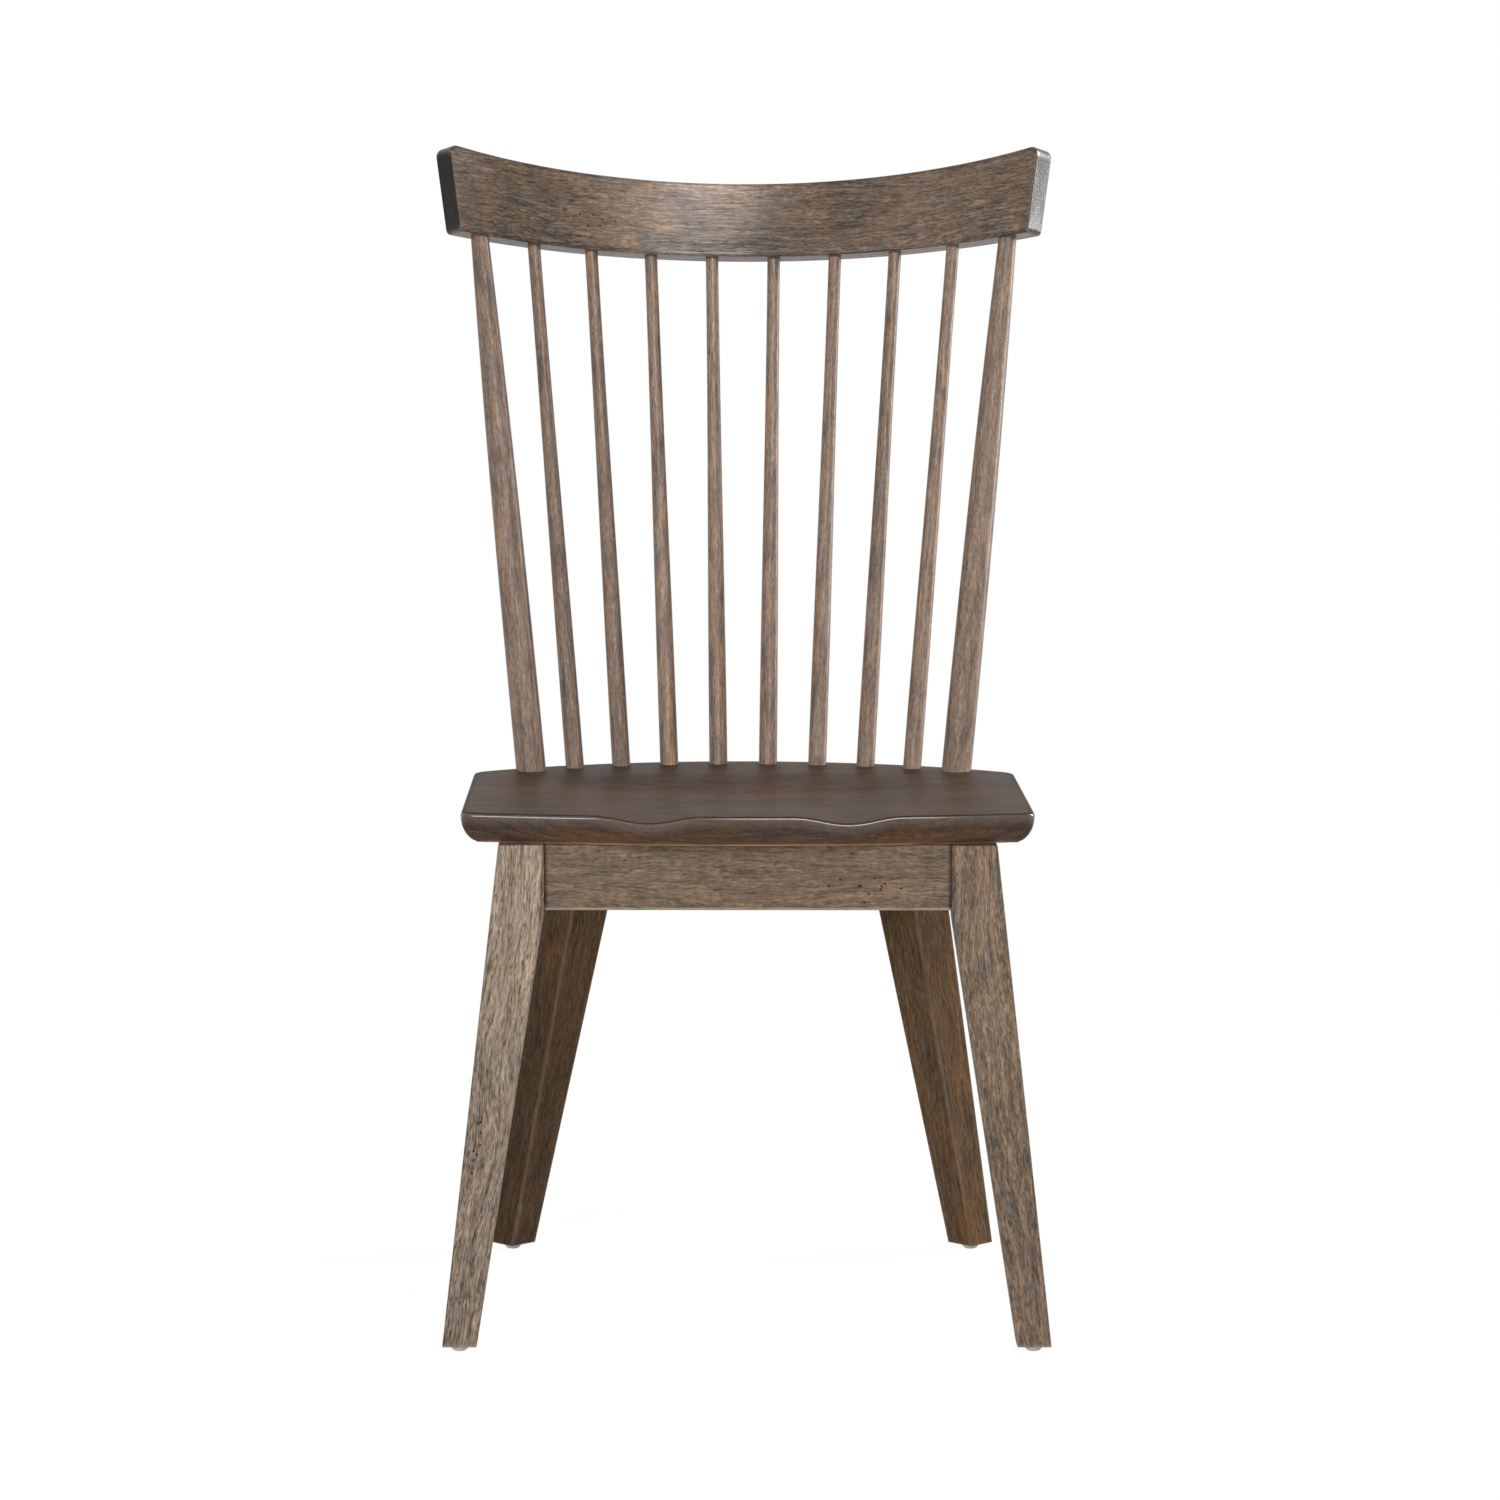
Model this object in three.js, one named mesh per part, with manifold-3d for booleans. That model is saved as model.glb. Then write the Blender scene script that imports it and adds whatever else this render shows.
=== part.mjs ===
// A dining chair of solid wood: a saddled seat on four splayed legs and four aprons,
// and a back of two posts and eight spindles under a bent crest rail.
import * as THREE from "three";
import { mergeVertices } from "three/addons/utils/BufferGeometryUtils.js";
import Module from "manifold-3d";

const wasm = await Module();
wasm.setup();

// Sizes are in millimetres. The chair faces -Y, left is -X, and the floor is at z = 0.
// The layout is drawn from the point midway between the two front feet.
const pieceGap = 0.3; // left between pieces that touch, and round tenons and fasteners

// Seat
const seatHeight = 470; // from the floor to the top of the front edge
const seatThickness = 27;
const seatWidth = 499;
const seatDepth = 444.5;
const seatLead = 8.5; // the front edge's middle ahead of the front feet
const seatFrontBow = 30; // the front edge's middle ahead of its ends
const seatFrontCornerRadius = 14;
const seatBackCornerRadius = 28;
const seatTopEdgeRadius = 3;
const seatLowerEdgeInset = 17; // how far the rounded lower edge draws in under the seat
const seatBackFall = 4; // the back edge's top below the front edge's
const hollowDepth = 6.2; // the two thigh hollows, where they run out at the front edge
const hollowOffset = 87; // a hollow's middle from the seat's middle
const hollowHalfWidth = 48;
const dishDepth = 8; // the broad dish that the hollows run into
const dishHalfWidth = 205;
const dishRunIn = 190; // from the front edge to where the dish has its full width
const deckStart = 245; // from the front edge to where the dish starts to rise to the flat deck
const deckFull = 345; // from the front edge to the flat deck

// Back: posts and spindles stand on one arc on the seat and end on one arc in the crest rail
const spindleCount = 8;
const spindleArcRadius = 352;
const spindleArcInset = 21; // the arc of the feet inside the seat's back edge
const postSeatInset = 52.36; // a post's middle on the seat, from the seat's side edge
const postCrestInset = 29.875; // a post's middle from the rail's end, along its underside
const spindleFootDiameter = 17;
const spindleTopDiameter = 12;
const postFootDiameter = 27.6;
const postTopDiameter = 16.8;
const seatSocketDepth = 18;
const crestSocketDepth = 20;
const backRise = 467.5; // from the feet to the underside of the crest rail's middle
const backLean = THREE.MathUtils.degToRad(15.97); // from upright

// Crest rail: a board bent towards the sitter, taller at its ends, with leaning end cuts
const crestBendRadius = 424.5; // at the middle of its thickness
const crestThickness = 23;
const crestMiddleHeight = 71.5;
const crestEndHeight = 81.8;
const crestBottomLength = 588.5; // along the bend
const crestTopOverhang = 14.5; // each end's top past its bottom, along the bend
const crestCornerRadius = 10; // the upper corners, seen from the front
const crestEdgeRadius = 2.5;

// Aprons
const apronHeight = 57;
const apronThickness = 17;
const frontApronSetback = 1; // its face behind the legs' faces at their top
const sideApronSetback = 6; // its face inside the front leg's outer face at the top

// Legs
const footWidth = 30; // every leg ends in a square of this side
const legEdgeChamfer = 2;
const seatSideOverhang = 33.2; // the seat's side edge outside a front leg's outer face at its top
const frontLegSplay = 49; // a front foot's outer face outside the leg's outer face at its top
const frontLegTopWidth = 40;
const frontLegTopDepth = 44;
const frontLegRake = 27; // a front foot's face ahead of the leg's face at its top
const boltFlatWidth = 14; // the flat for the bolt on a front leg's inner corner
const boltFlatFade = 14; // the height below the apron in which that flat runs out
const rearFootInset = 32.8; // a rear foot's middle, from the side, inside the front foot's
const feetDepth = 432.5; // from the front feet to the rear feet
const rearLegTopWidth = 49.5; // across the face that the aprons meet
const rearLegTopThickness = 36.5; // square to that face
const rearLegSplay = 120; // from a rear foot's middle to that face, along the diagonal

// Corner blocks and fasteners
const blockHeight = 40;
const frontBlockThickness = 26;
const rearBlockThickness = 34;
const blockStandoff = 2; // between a front leg's flat and its block
const rearBlockTrim = 5; // cut off the rear block's sharp edge
const boltDiameter = 8;
const boltLegDepth = 28; // screwed into the leg
const boltTail = 4; // standing out of the nut
const washerDiameter = 20;
const washerThickness = 1.8;
const nutDiameter = 15; // across its corners
const nutHeight = 6.5;
const screwDiameter = 4;
const screwHeadDiameter = 8;
const screwHeadHeight = 2.6;
const screwTipLength = 4;
const blockScrewInset = 12; // from the block's ends, along its inner face
const blockScrewBite = 16; // into the apron
const seatScrewOffset = 15; // from the bolt, along the block
const seatScrewBite = 14; // into the seat

// Glides under the feet
const glideDiameter = 15;
const glideHeight = 5.2;
const glideFlatDiameter = 7; // the flat that stands on the floor
const glideRimHeight = 1.2;
const nailDiameter = 2.4;
const nailHeadDiameter = 7;
const nailHeadThickness = 1;
const nailHeadHeight = 1.8; // from the floor to the underside of the nail's head
const nailBite = 14; // into the leg

// Counts, shares and powers: these aren't lengths
const seatCornerSteps = 4;
const seatEdgeSteps = 20; // along the front edge, and along the back edge
const seatSideSteps = 8;
const seatRoundSteps = 5;
const seatTopRingShares = [0.93, 0.83, 0.7, 0.55, 0.4, 0.24, 0.1];
const seatMiddleShare = 0.55; // where the rings of the top surface close, along the depth
const crestSections = 28;
const roundSteps = 3;
const spindleSides = 12;
const postSides = 16;
const taperSteps = 7;
const spindleTaperEndShare = 0.95; // a spindle's taper is over here, from foot to top
const postTaperPower = 2.3;
const fastenerSides = 12;
const nutSides = 6;
const glideSteps = 4;

// Places that follow from the sizes
const seatBottom = seatHeight - seatThickness;
const frameTop = seatBottom - pieceGap;
const apronBottom = frameTop - apronHeight;
const legBottom = glideHeight + pieceGap;
const seatFront = -seatLead;
const seatBack = seatFront + seatDepth;
const seatBackRadius = spindleArcRadius + spindleArcInset;
const seatBackCentre = seatBack - seatBackRadius;
const seatFrontRadius = ((seatWidth / 2) ** 2 + seatFrontBow ** 2) / (2 * seatFrontBow);
const seatFrontCentre = seatFront + seatFrontRadius;
const uprightCount = spindleCount + 2;
const postFootX = seatWidth / 2 - postSeatInset;
const seatSpacing = (2 * spindleArcRadius * Math.asin(postFootX / spindleArcRadius)) / (uprightCount - 1);
const crestSpacing = (crestBottomLength - 2 * postCrestInset) / (uprightCount - 1);
const frontLegOuter = seatWidth / 2 - seatSideOverhang;
const frontLegInner = frontLegOuter - frontLegTopWidth;
const frontFootX = frontLegOuter + frontLegSplay - footWidth / 2;
const rearFootX = frontFootX - rearFootInset;

const flat = (x, y) => new THREE.Vector2(x, y);
const point = (x, y, z) => new THREE.Vector3(x, y, z);
const mirror = (v) => point(-v.x, v.y, v.z);
const quarter = Math.PI / 2;

// Solids
// A closed geometry as a solid that can be cut.
function solidOf(geometry) {
  const bare = geometry.clone();
  bare.deleteAttribute("normal");
  bare.deleteAttribute("uv");
  const merged = mergeVertices(bare);
  return new wasm.Manifold(
    new wasm.Mesh({
      numProp: 3,
      vertProperties: merged.getAttribute("position").array,
      triVerts: new Uint32Array(merged.index.array),
    }),
  );
}

function indexedGeometry(positions, indices) {
  const geometry = new THREE.BufferGeometry();
  geometry.setAttribute("position", new THREE.BufferAttribute(new Float32Array(positions), 3));
  geometry.setIndex(new THREE.BufferAttribute(new Uint32Array(indices), 1));
  geometry.computeVertexNormals();
  return geometry;
}

// The geometry with every tool taken away from it.
function cut(geometry, tools) {
  const mesh = tools.reduce((rest, tool) => rest.subtract(solidOf(tool)), solidOf(geometry)).getMesh();
  return indexedGeometry(mesh.vertProperties, mesh.triVerts);
}

// The same piece for the chair's other side, with its faces turned out again.
function mirrored(geometry) {
  const other = geometry.clone().scale(-1, 1, 1);
  const index = other.index.array;
  for (let i = 0; i < index.length; i += 3) [index[i + 1], index[i + 2]] = [index[i + 2], index[i + 1]];
  other.computeVertexNormals();
  return other;
}

// A skin over closed rings of equally many points, each end closed round its middle.
// The rings run anticlockwise about the way from the first ring to the last.
function loft(rings) {
  const count = rings[0].length;
  const middle = (ring) => ring.reduce((sum, p) => sum.add(p), point(0, 0, 0)).divideScalar(count);
  const points = [...rings.flat(), middle(rings[0]), middle(rings.at(-1))];
  const [firstMiddle, lastMiddle] = [points.length - 2, points.length - 1];
  const indices = [];
  for (let i = 0; i < count; i++) {
    const j = (i + 1) % count;
    for (let r = 0; r + 1 < rings.length; r++) {
      const [low, high] = [r * count, (r + 1) * count];
      indices.push(low + i, low + j, high + j, low + i, high + j, high + i);
    }
    const last = (rings.length - 1) * count;
    indices.push(firstMiddle, j, i, lastMiddle, last + i, last + j);
  }
  return indexedGeometry(points.flatMap((p) => p.toArray()), indices);
}

// A board with a given outline in plan.
function board(outline, bottom, top) {
  const geometry = new THREE.ExtrudeGeometry(new THREE.Shape(outline), {
    depth: top - bottom,
    bevelEnabled: false,
  });
  return mergeVertices(geometry.deleteAttribute("normal").deleteAttribute("uv").translate(0, 0, bottom));
}

// A turned piece about Z: the profile lists [radius, height] from its low end to its high end.
function turned(profile, sides) {
  return new THREE.LatheGeometry(profile.map(([r, z]) => flat(r, z)), sides).rotateX(quarter);
}

// The turn that lays a piece's Z axis along a direction.
const turnTo = (direction) => new THREE.Quaternion().setFromUnitVectors(point(0, 0, 1), direction);

function placed(geometry, start, direction) {
  return geometry.clone().applyQuaternion(turnTo(direction)).translate(start.x, start.y, start.z);
}

// Lines in plan
const line = (start, direction) => ({ start, direction: direction.clone().normalize() });
const lineThrough = (a, b) => line(a, b.clone().sub(a));

// The line moved sideways, to the left of its direction when the distance is positive.
function beside({ start, direction }, distance) {
  return line(start.clone().add(flat(-direction.y, direction.x).multiplyScalar(distance)), direction);
}

function meet(a, b) {
  const along = b.start.clone().sub(a.start).cross(b.direction) / a.direction.cross(b.direction);
  return a.start.clone().addScaledVector(a.direction, along);
}

// Seat
// Points on an arc, without its last point.
function arc(x, y, radius, from, to, steps) {
  return Array.from({ length: steps }, (_, i) => {
    const angle = from + ((to - from) * i) / steps;
    return flat(x + radius * Math.cos(angle), y + radius * Math.sin(angle));
  });
}

// The seat's outline where it is widest, anticlockwise from the right side's back end: two
// straight sides, an arc in front and one at the back, and a rounded corner between each.
function seatOutline() {
  const cornerX = seatWidth / 2 - seatBackCornerRadius;
  const cornerY = seatBackCentre + Math.sqrt((seatBackRadius - seatBackCornerRadius) ** 2 - cornerX ** 2);
  const backTurn = Math.atan2(cornerY - seatBackCentre, cornerX);
  const frontX = seatWidth / 2 - seatFrontCornerRadius;
  const frontY = seatFrontCentre - Math.sqrt((seatFrontRadius - seatFrontCornerRadius) ** 2 - frontX ** 2);
  const frontTurn = Math.atan2(seatFrontCentre - frontY, frontX);
  const side = (x, from, to) =>
    Array.from({ length: seatSideSteps }, (_, i) => flat(x, from + ((to - from) * i) / seatSideSteps));
  return [
    ...arc(cornerX, cornerY, seatBackCornerRadius, 0, backTurn, seatCornerSteps),
    ...arc(0, seatBackCentre, seatBackRadius, backTurn, Math.PI - backTurn, seatEdgeSteps),
    ...arc(-cornerX, cornerY, seatBackCornerRadius, Math.PI - backTurn, Math.PI, seatCornerSteps),
    ...side(-seatWidth / 2, cornerY, frontY),
    ...arc(-frontX, frontY, seatFrontCornerRadius, Math.PI, Math.PI + frontTurn, seatCornerSteps),
    ...arc(0, seatFrontCentre, seatFrontRadius, Math.PI + frontTurn, 2 * Math.PI - frontTurn, seatEdgeSteps),
    ...arc(frontX, frontY, seatFrontCornerRadius, -frontTurn, 0, seatCornerSteps),
    ...side(seatWidth / 2, frontY, cornerY),
  ];
}

// The closed outline moved inwards.
function inset(outline, distance) {
  return outline.map((p, i) => {
    const before = outline[(i + outline.length - 1) % outline.length];
    const after = outline[(i + 1) % outline.length];
    const along = after.clone().sub(before).normalize();
    return flat(p.x - along.y * distance, p.y + along.x * distance);
  });
}

// The top surface: a slow fall to the back, less two hollows at the front that widen into one dish.
function seatTop(x, y) {
  const back = y - seatFront;
  const hollow = Math.cos(quarter * Math.min(1, Math.abs(Math.abs(x) - hollowOffset) / hollowHalfWidth)) ** 2;
  const dish = THREE.MathUtils.smoothstep(dishHalfWidth - Math.abs(x), 0, dishHalfWidth - hollowOffset);
  const run = THREE.MathUtils.smoothstep(back, 0, dishRunIn);
  const rise = THREE.MathUtils.smoothstep(back, deckStart, deckFull);
  const depth = (1 - run) * hollowDepth * hollow + run * dishDepth * dish;
  return seatHeight - (seatBackFall * back) / seatDepth - depth * (1 - rise);
}

function seat(sockets) {
  const outline = seatOutline();
  const middle = flat(0, seatFront + seatDepth * seatMiddleShare);
  const rimTop = outline.map((p) => seatTop(p.x, p.y));
  const ring = (distance, height) => inset(outline, distance).map((p, i) => point(p.x, p.y, height(i)));
  const rings = [];
  for (let step = 0; step <= seatRoundSteps; step++) {
    const angle = quarter * (1 - step / seatRoundSteps);
    const wide = (i) => rimTop[i] - seatTopEdgeRadius - seatBottom;
    rings.push(
      ring(seatLowerEdgeInset * (1 - Math.cos(angle)), (i) => seatBottom + wide(i) * (1 - Math.sin(angle))),
    );
  }
  for (let step = 1; step <= roundSteps; step++) {
    const angle = (quarter * step) / roundSteps;
    rings.push(
      ring(
        seatTopEdgeRadius * (1 - Math.cos(angle)),
        (i) => rimTop[i] - seatTopEdgeRadius * (1 - Math.sin(angle)),
      ),
    );
  }
  const rim = inset(outline, seatTopEdgeRadius);
  for (const share of seatTopRingShares) {
    rings.push(
      rim.map((p) => {
        const inner = middle.clone().lerp(p, share);
        return point(inner.x, inner.y, seatTop(inner.x, inner.y));
      }),
    );
  }
  return cut(loft(rings), sockets);
}

// Crest rail
const crestUp = point(0, Math.sin(backLean), Math.cos(backLean));
const crestToSitter = point(0, -Math.cos(backLean), Math.sin(backLean));
const arcApex = point(0, seatBack - spindleArcInset, 0);
const crestBase = point(
  0,
  arcApex.y + backRise * Math.tan(backLean),
  seatTop(0, arcApex.y) + backRise,
);

// A point of the rail: its turn round the bend, its distance behind the middle of the
// thickness, and its height above the underside.
function crestPoint(turn, behind, up) {
  const radius = crestBendRadius + behind;
  return crestBase
    .clone()
    .addScaledVector(point(1, 0, 0), radius * Math.sin(turn))
    .addScaledVector(crestToSitter, crestBendRadius - radius * Math.cos(turn))
    .addScaledVector(crestUp, up);
}

// How far a rounded corner falls short of the square one, at a distance from the end.
const cornerLoss = (radius, distance) =>
  distance < radius ? radius - Math.sqrt(radius ** 2 - (radius - distance) ** 2) : 0;

function crestRail(sockets) {
  const halfLength = crestBottomLength / 2;
  const inner = halfLength - crestCornerRadius;
  const places = [];
  for (let i = 0; i <= crestSections; i++) places.push(inner * ((2 * i) / crestSections - 1));
  for (let step = 1; step <= roundSteps; step++) {
    const past = crestCornerRadius * Math.sin((quarter * step) / roundSteps);
    places.push(inner + past);
    places.unshift(-inner - past);
  }
  const section = (place) => {
    const share = place / halfLength;
    const toEnd = halfLength - Math.abs(place);
    const height = crestMiddleHeight + (crestEndHeight - crestMiddleHeight) * share ** 2;
    const top = height - cornerLoss(crestCornerRadius, toEnd);
    const bottom = cornerLoss(crestEdgeRadius, toEnd);
    const half = crestThickness / 2;
    const corners = [
      [half - crestEdgeRadius, bottom + crestEdgeRadius, -quarter],
      [half - crestEdgeRadius, top - crestEdgeRadius, 0],
      [crestEdgeRadius - half, top - crestEdgeRadius, quarter],
      [crestEdgeRadius - half, bottom + crestEdgeRadius, 2 * quarter],
    ];
    return corners.flatMap(([behind, up, from]) =>
      Array.from({ length: roundSteps }, (_, i) => {
        const angle = from + (quarter * i) / (roundSteps - 1);
        const z = up + crestEdgeRadius * Math.sin(angle);
        const reach = (place + (crestTopOverhang * share * z) / crestEndHeight) / crestBendRadius;
        return crestPoint(reach, behind + crestEdgeRadius * Math.cos(angle), z);
      }),
    );
  };
  return cut(loft(places.map(section)), sockets);
}

// Posts and spindles, numbered from the left: the first and the last are the posts.
function uprightPlaces() {
  return Array.from({ length: uprightCount }, (_, i) => {
    const step = i - (uprightCount - 1) / 2;
    const footTurn = (step * seatSpacing) / spindleArcRadius;
    const x = spindleArcRadius * Math.sin(footTurn);
    const y = arcApex.y - spindleArcRadius * (1 - Math.cos(footTurn));
    const foot = point(x, y, seatTop(x, y));
    const top = crestPoint((step * crestSpacing) / crestBendRadius, 0, 0);
    return { foot, direction: top.clone().sub(foot).normalize(), length: foot.distanceTo(top) };
  });
}

// A spindle's blank, or with room all round the shape of its two sockets. The height runs
// from its foot on the seat.
function upright(length, footDiameter, topDiameter, sides, taper, room) {
  const profile = [[0, -seatSocketDepth - room]];
  profile.push([footDiameter / 2 + room, -seatSocketDepth - room]);
  for (let step = 0; step <= taperSteps; step++) {
    const share = step / taperSteps;
    const diameter = footDiameter + (topDiameter - footDiameter) * taper(share);
    profile.push([diameter / 2 + room, length * share]);
  }
  profile.push([topDiameter / 2 + room, length + crestSocketDepth + room]);
  profile.push([0, length + crestSocketDepth + room]);
  return turned(profile, sides);
}

const uprights = uprightPlaces().map(({ foot, direction, length }, i) => {
  const isPost = i === 0 || i === uprightCount - 1;
  const shape = (room) =>
    isPost
      ? upright(length, postFootDiameter, postTopDiameter, postSides, (t) => t ** postTaperPower, room)
      : upright(
          length,
          spindleFootDiameter,
          spindleTopDiameter,
          spindleSides,
          (t) => THREE.MathUtils.smoothstep(t, 0, spindleTaperEndShare),
          room,
        );
  const postName = i === 0 ? "back_post_left" : "back_post_right";
  return { name: isPost ? postName : `spindle_${i}`, foot, direction, shape };
});

// Legs
// A rectangle as a ring of eight points, anticlockwise from its left front corner. Each of
// its four corners has a chamfer of its own.
function legRing(left, right, front, back, chamfers, toPoint) {
  const corners = [
    [left, front, 1, 1],
    [right, front, -1, 1],
    [right, back, -1, -1],
    [left, back, 1, -1],
  ];
  return corners.flatMap(([x, y, inX, inY], i) => {
    const c = chamfers[i];
    const onSide = toPoint(x, y + inY * c);
    const onFront = toPoint(x + inX * c, y);
    return i % 2 === 0 ? [onSide, onFront] : [onFront, onSide];
  });
}

const evenChamfers = Array(4).fill(legEdgeChamfer);
const frontLegFace = frontLegRake - footWidth / 2;
const frontLegBack = frontLegFace + frontLegTopDepth;
// The share of a leg's slant that is done at a height, from the foot to the top.
const slant = (z) => (z - legBottom) / (frameTop - legBottom);

// A front leg: two straight slanting faces outside and in front, and two faces that run
// upright beside the aprons and slant below them.
function frontLeg(holes) {
  const footInner = frontFootX - footWidth / 2;
  const ring = (z, below, boltChamfer) => {
    const lerp = THREE.MathUtils.lerp;
    return legRing(
      lerp(frontLegInner, footInner, below),
      lerp(footInner + footWidth, frontLegOuter, slant(z)),
      lerp(-footWidth / 2, frontLegFace, slant(z)),
      lerp(frontLegBack, footWidth / 2, below),
      [legEdgeChamfer, legEdgeChamfer, legEdgeChamfer, boltChamfer],
      (x, y) => point(x, y, z),
    );
  };
  const fadeShare = boltFlatFade / (apronBottom - legBottom);
  const boltChamfer = boltFlatWidth / Math.SQRT2;
  const rings = [
    ring(legBottom, 1, legEdgeChamfer),
    ring(apronBottom - boltFlatFade, fadeShare, legEdgeChamfer),
    ring(apronBottom, 0, boltChamfer),
    ring(frameTop, 0, boltChamfer),
  ];
  return cut(loft(rings), holes);
}

// A rear leg is turned an eighth of a circle: outwards is along the diagonal, and its inner
// face runs upright beside the aprons.
const rearOut = flat(1, 1).normalize();
const rearAcross = flat(1, -1).normalize();
const rearFoot = flat(rearFootX, feetDepth);
const rearFace = rearFoot.clone().addScaledVector(rearOut, -rearLegSplay);

function rearLeg(holes) {
  const ring = (z, below) => {
    const lerp = THREE.MathUtils.lerp;
    const halfWidth = lerp(rearLegTopWidth, footWidth, below) / 2;
    const inner = lerp(-rearLegSplay, -footWidth / 2, below);
    const outer = lerp(footWidth / 2, rearLegTopThickness - rearLegSplay, slant(z));
    return legRing(-halfWidth, halfWidth, inner, outer, evenChamfers, (across, out) => {
      const place = rearFoot.clone().addScaledVector(rearOut, out).addScaledVector(rearAcross, across);
      return point(place.x, place.y, z);
    });
  };
  return cut(loft([ring(legBottom, 1), ring(apronBottom, 0), ring(frameTop, 0)]), holes);
}

// Apron faces in plan, for the right half. Each side apron runs from the back of its front
// leg to the rear leg's inner face, and the rear apron ends against that face and the side apron.
const frontApronFace = frontLegFace + frontApronSetback;
const frontApronBack = frontApronFace + apronThickness;
const sideFace = lineThrough(
  flat(frontLegOuter - sideApronSetback, frontLegBack),
  rearFace.clone().addScaledVector(rearAcross, rearLegTopWidth / 2),
);
const sideInside = beside(sideFace, apronThickness);
const rearMitre = beside(line(rearFace, rearAcross), -pieceGap);
const rearApronBack = rearFace.clone().addScaledVector(rearAcross, -rearLegTopWidth / 2).y;
const across = (y) => line(flat(0, y), flat(1, 0));

function frontApron(holes) {
  const half = frontLegInner - pieceGap;
  const outline = [
    flat(-half, frontApronFace),
    flat(half, frontApronFace),
    flat(half, frontApronBack),
    flat(-half, frontApronBack),
  ];
  return cut(board(outline, apronBottom, frameTop), holes);
}

function sideApron(holes) {
  const start = across(frontLegBack + pieceGap);
  const outline = [
    meet(sideFace, start),
    meet(sideFace, rearMitre),
    meet(sideInside, rearMitre),
    meet(sideInside, start),
  ];
  return cut(board(outline, apronBottom, frameTop), holes);
}

function rearApron(holes) {
  const besideSide = beside(sideInside, pieceGap);
  const right = [
    meet(across(rearApronBack - apronThickness), besideSide),
    meet(besideSide, rearMitre),
    meet(across(rearApronBack), rearMitre),
  ];
  const left = right.map((p) => flat(-p.x, p.y)).reverse();
  return cut(board([...right, ...left], apronBottom, frameTop), holes);
}

// Corner blocks, each drawn by the bolt that goes through it: from the leg's flat inwards.
const boltHeight = frameTop - blockHeight / 2;
const flatCorner = boltFlatWidth / (2 * Math.SQRT2);
const besideSideApron = beside(sideInside, pieceGap);

function cornerOf(legFlat, inwards, firstWall, blockStart, blockThickness) {
  const sideways = flat(-inwards.y, inwards.x);
  const faceAt = (distance) => line(legFlat.clone().addScaledVector(inwards, distance), sideways);
  const [outer, inner] = [faceAt(blockStart), faceAt(blockStart + blockThickness)];
  const walls = [firstWall, besideSideApron];
  const ends = walls.map((wall) => meet(inner, wall));
  const outline = [meet(outer, walls[0]), ends[0], ends[1], meet(outer, walls[1])];
  const lift = (p, z) => point(p.x, p.y, z);
  // A screw near each end of the inner face runs beside the bolt into that end's apron.
  const screws = walls.map((wall, i) => {
    const inset = ends[1 - i].clone().sub(ends[i]).setLength(blockScrewInset);
    const start = ends[i].clone().add(inset);
    const reach = start.distanceTo(meet(line(start, inwards), wall));
    return { start: lift(start, boltHeight), length: reach + blockScrewBite };
  });
  const seatScrewPlace = legFlat
    .clone()
    .addScaledVector(inwards, blockStart + blockThickness / 2)
    .addScaledVector(sideways, seatScrewOffset);
  return {
    outline,
    screws,
    depth: blockStart + blockThickness,
    boltStart: lift(legFlat, boltHeight),
    inwards: lift(inwards, 0),
    outwards: lift(inwards.clone().negate(), 0),
    seatScrewStart: lift(seatScrewPlace, frameTop - blockHeight),
  };
}

const frontCorner = cornerOf(
  flat(frontLegInner + flatCorner, frontLegBack - flatCorner),
  flat(-1, 1).normalize(),
  across(frontApronBack + pieceGap),
  blockStandoff,
  frontBlockThickness,
);
const rearWall = across(rearApronBack - apronThickness - pieceGap);
const rearApexDepth = rearFace.clone().sub(meet(rearWall, besideSideApron)).dot(rearOut);
const rearCorner = cornerOf(
  rearFace,
  rearOut.clone().negate(),
  rearWall,
  rearApexDepth + rearBlockTrim,
  rearBlockThickness,
);

// Fasteners, each along Z from the face that it is driven into. The same shape with room
// all round cuts its hole.
function screw(length, room) {
  const [head, shank] = [screwHeadDiameter / 2 + room, screwDiameter / 2 + room];
  return turned(
    [
      [0, -room],
      [head, -room],
      [shank, screwHeadHeight],
      [shank, length - screwTipLength],
      [0, length + room],
    ],
    fastenerSides,
  );
}

function bolt(depth, room) {
  const radius = boltDiameter / 2 + room;
  const end = depth + washerThickness + nutHeight + 3 * pieceGap + boltTail;
  const low = -boltLegDepth - room;
  return turned([[0, low], [radius, low], [radius, end], [0, end]], fastenerSides);
}

// A flat ring, or a nut when its outline has six sides.
function drilledPlate(diameter, sides, thickness) {
  const ringOf = (radius, count) => arc(0, 0, radius, 0, 2 * Math.PI, count);
  const outline = new THREE.Shape(ringOf(diameter / 2, sides));
  outline.holes.push(new THREE.Path(ringOf(boltDiameter / 2 + pieceGap, fastenerSides).reverse()));
  return new THREE.ExtrudeGeometry(outline, { depth: thickness, bevelEnabled: false });
}

function glideNail(room) {
  const [head, shank] = [nailHeadDiameter / 2 + room, nailDiameter / 2 + room];
  const low = nailHeadHeight - room;
  const headTop = nailHeadHeight + nailHeadThickness + room;
  const high = legBottom + nailBite + room;
  return turned([[0, low], [head, low], [head, headTop], [shank, headTop], [shank, high], [0, high]], fastenerSides);
}

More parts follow.
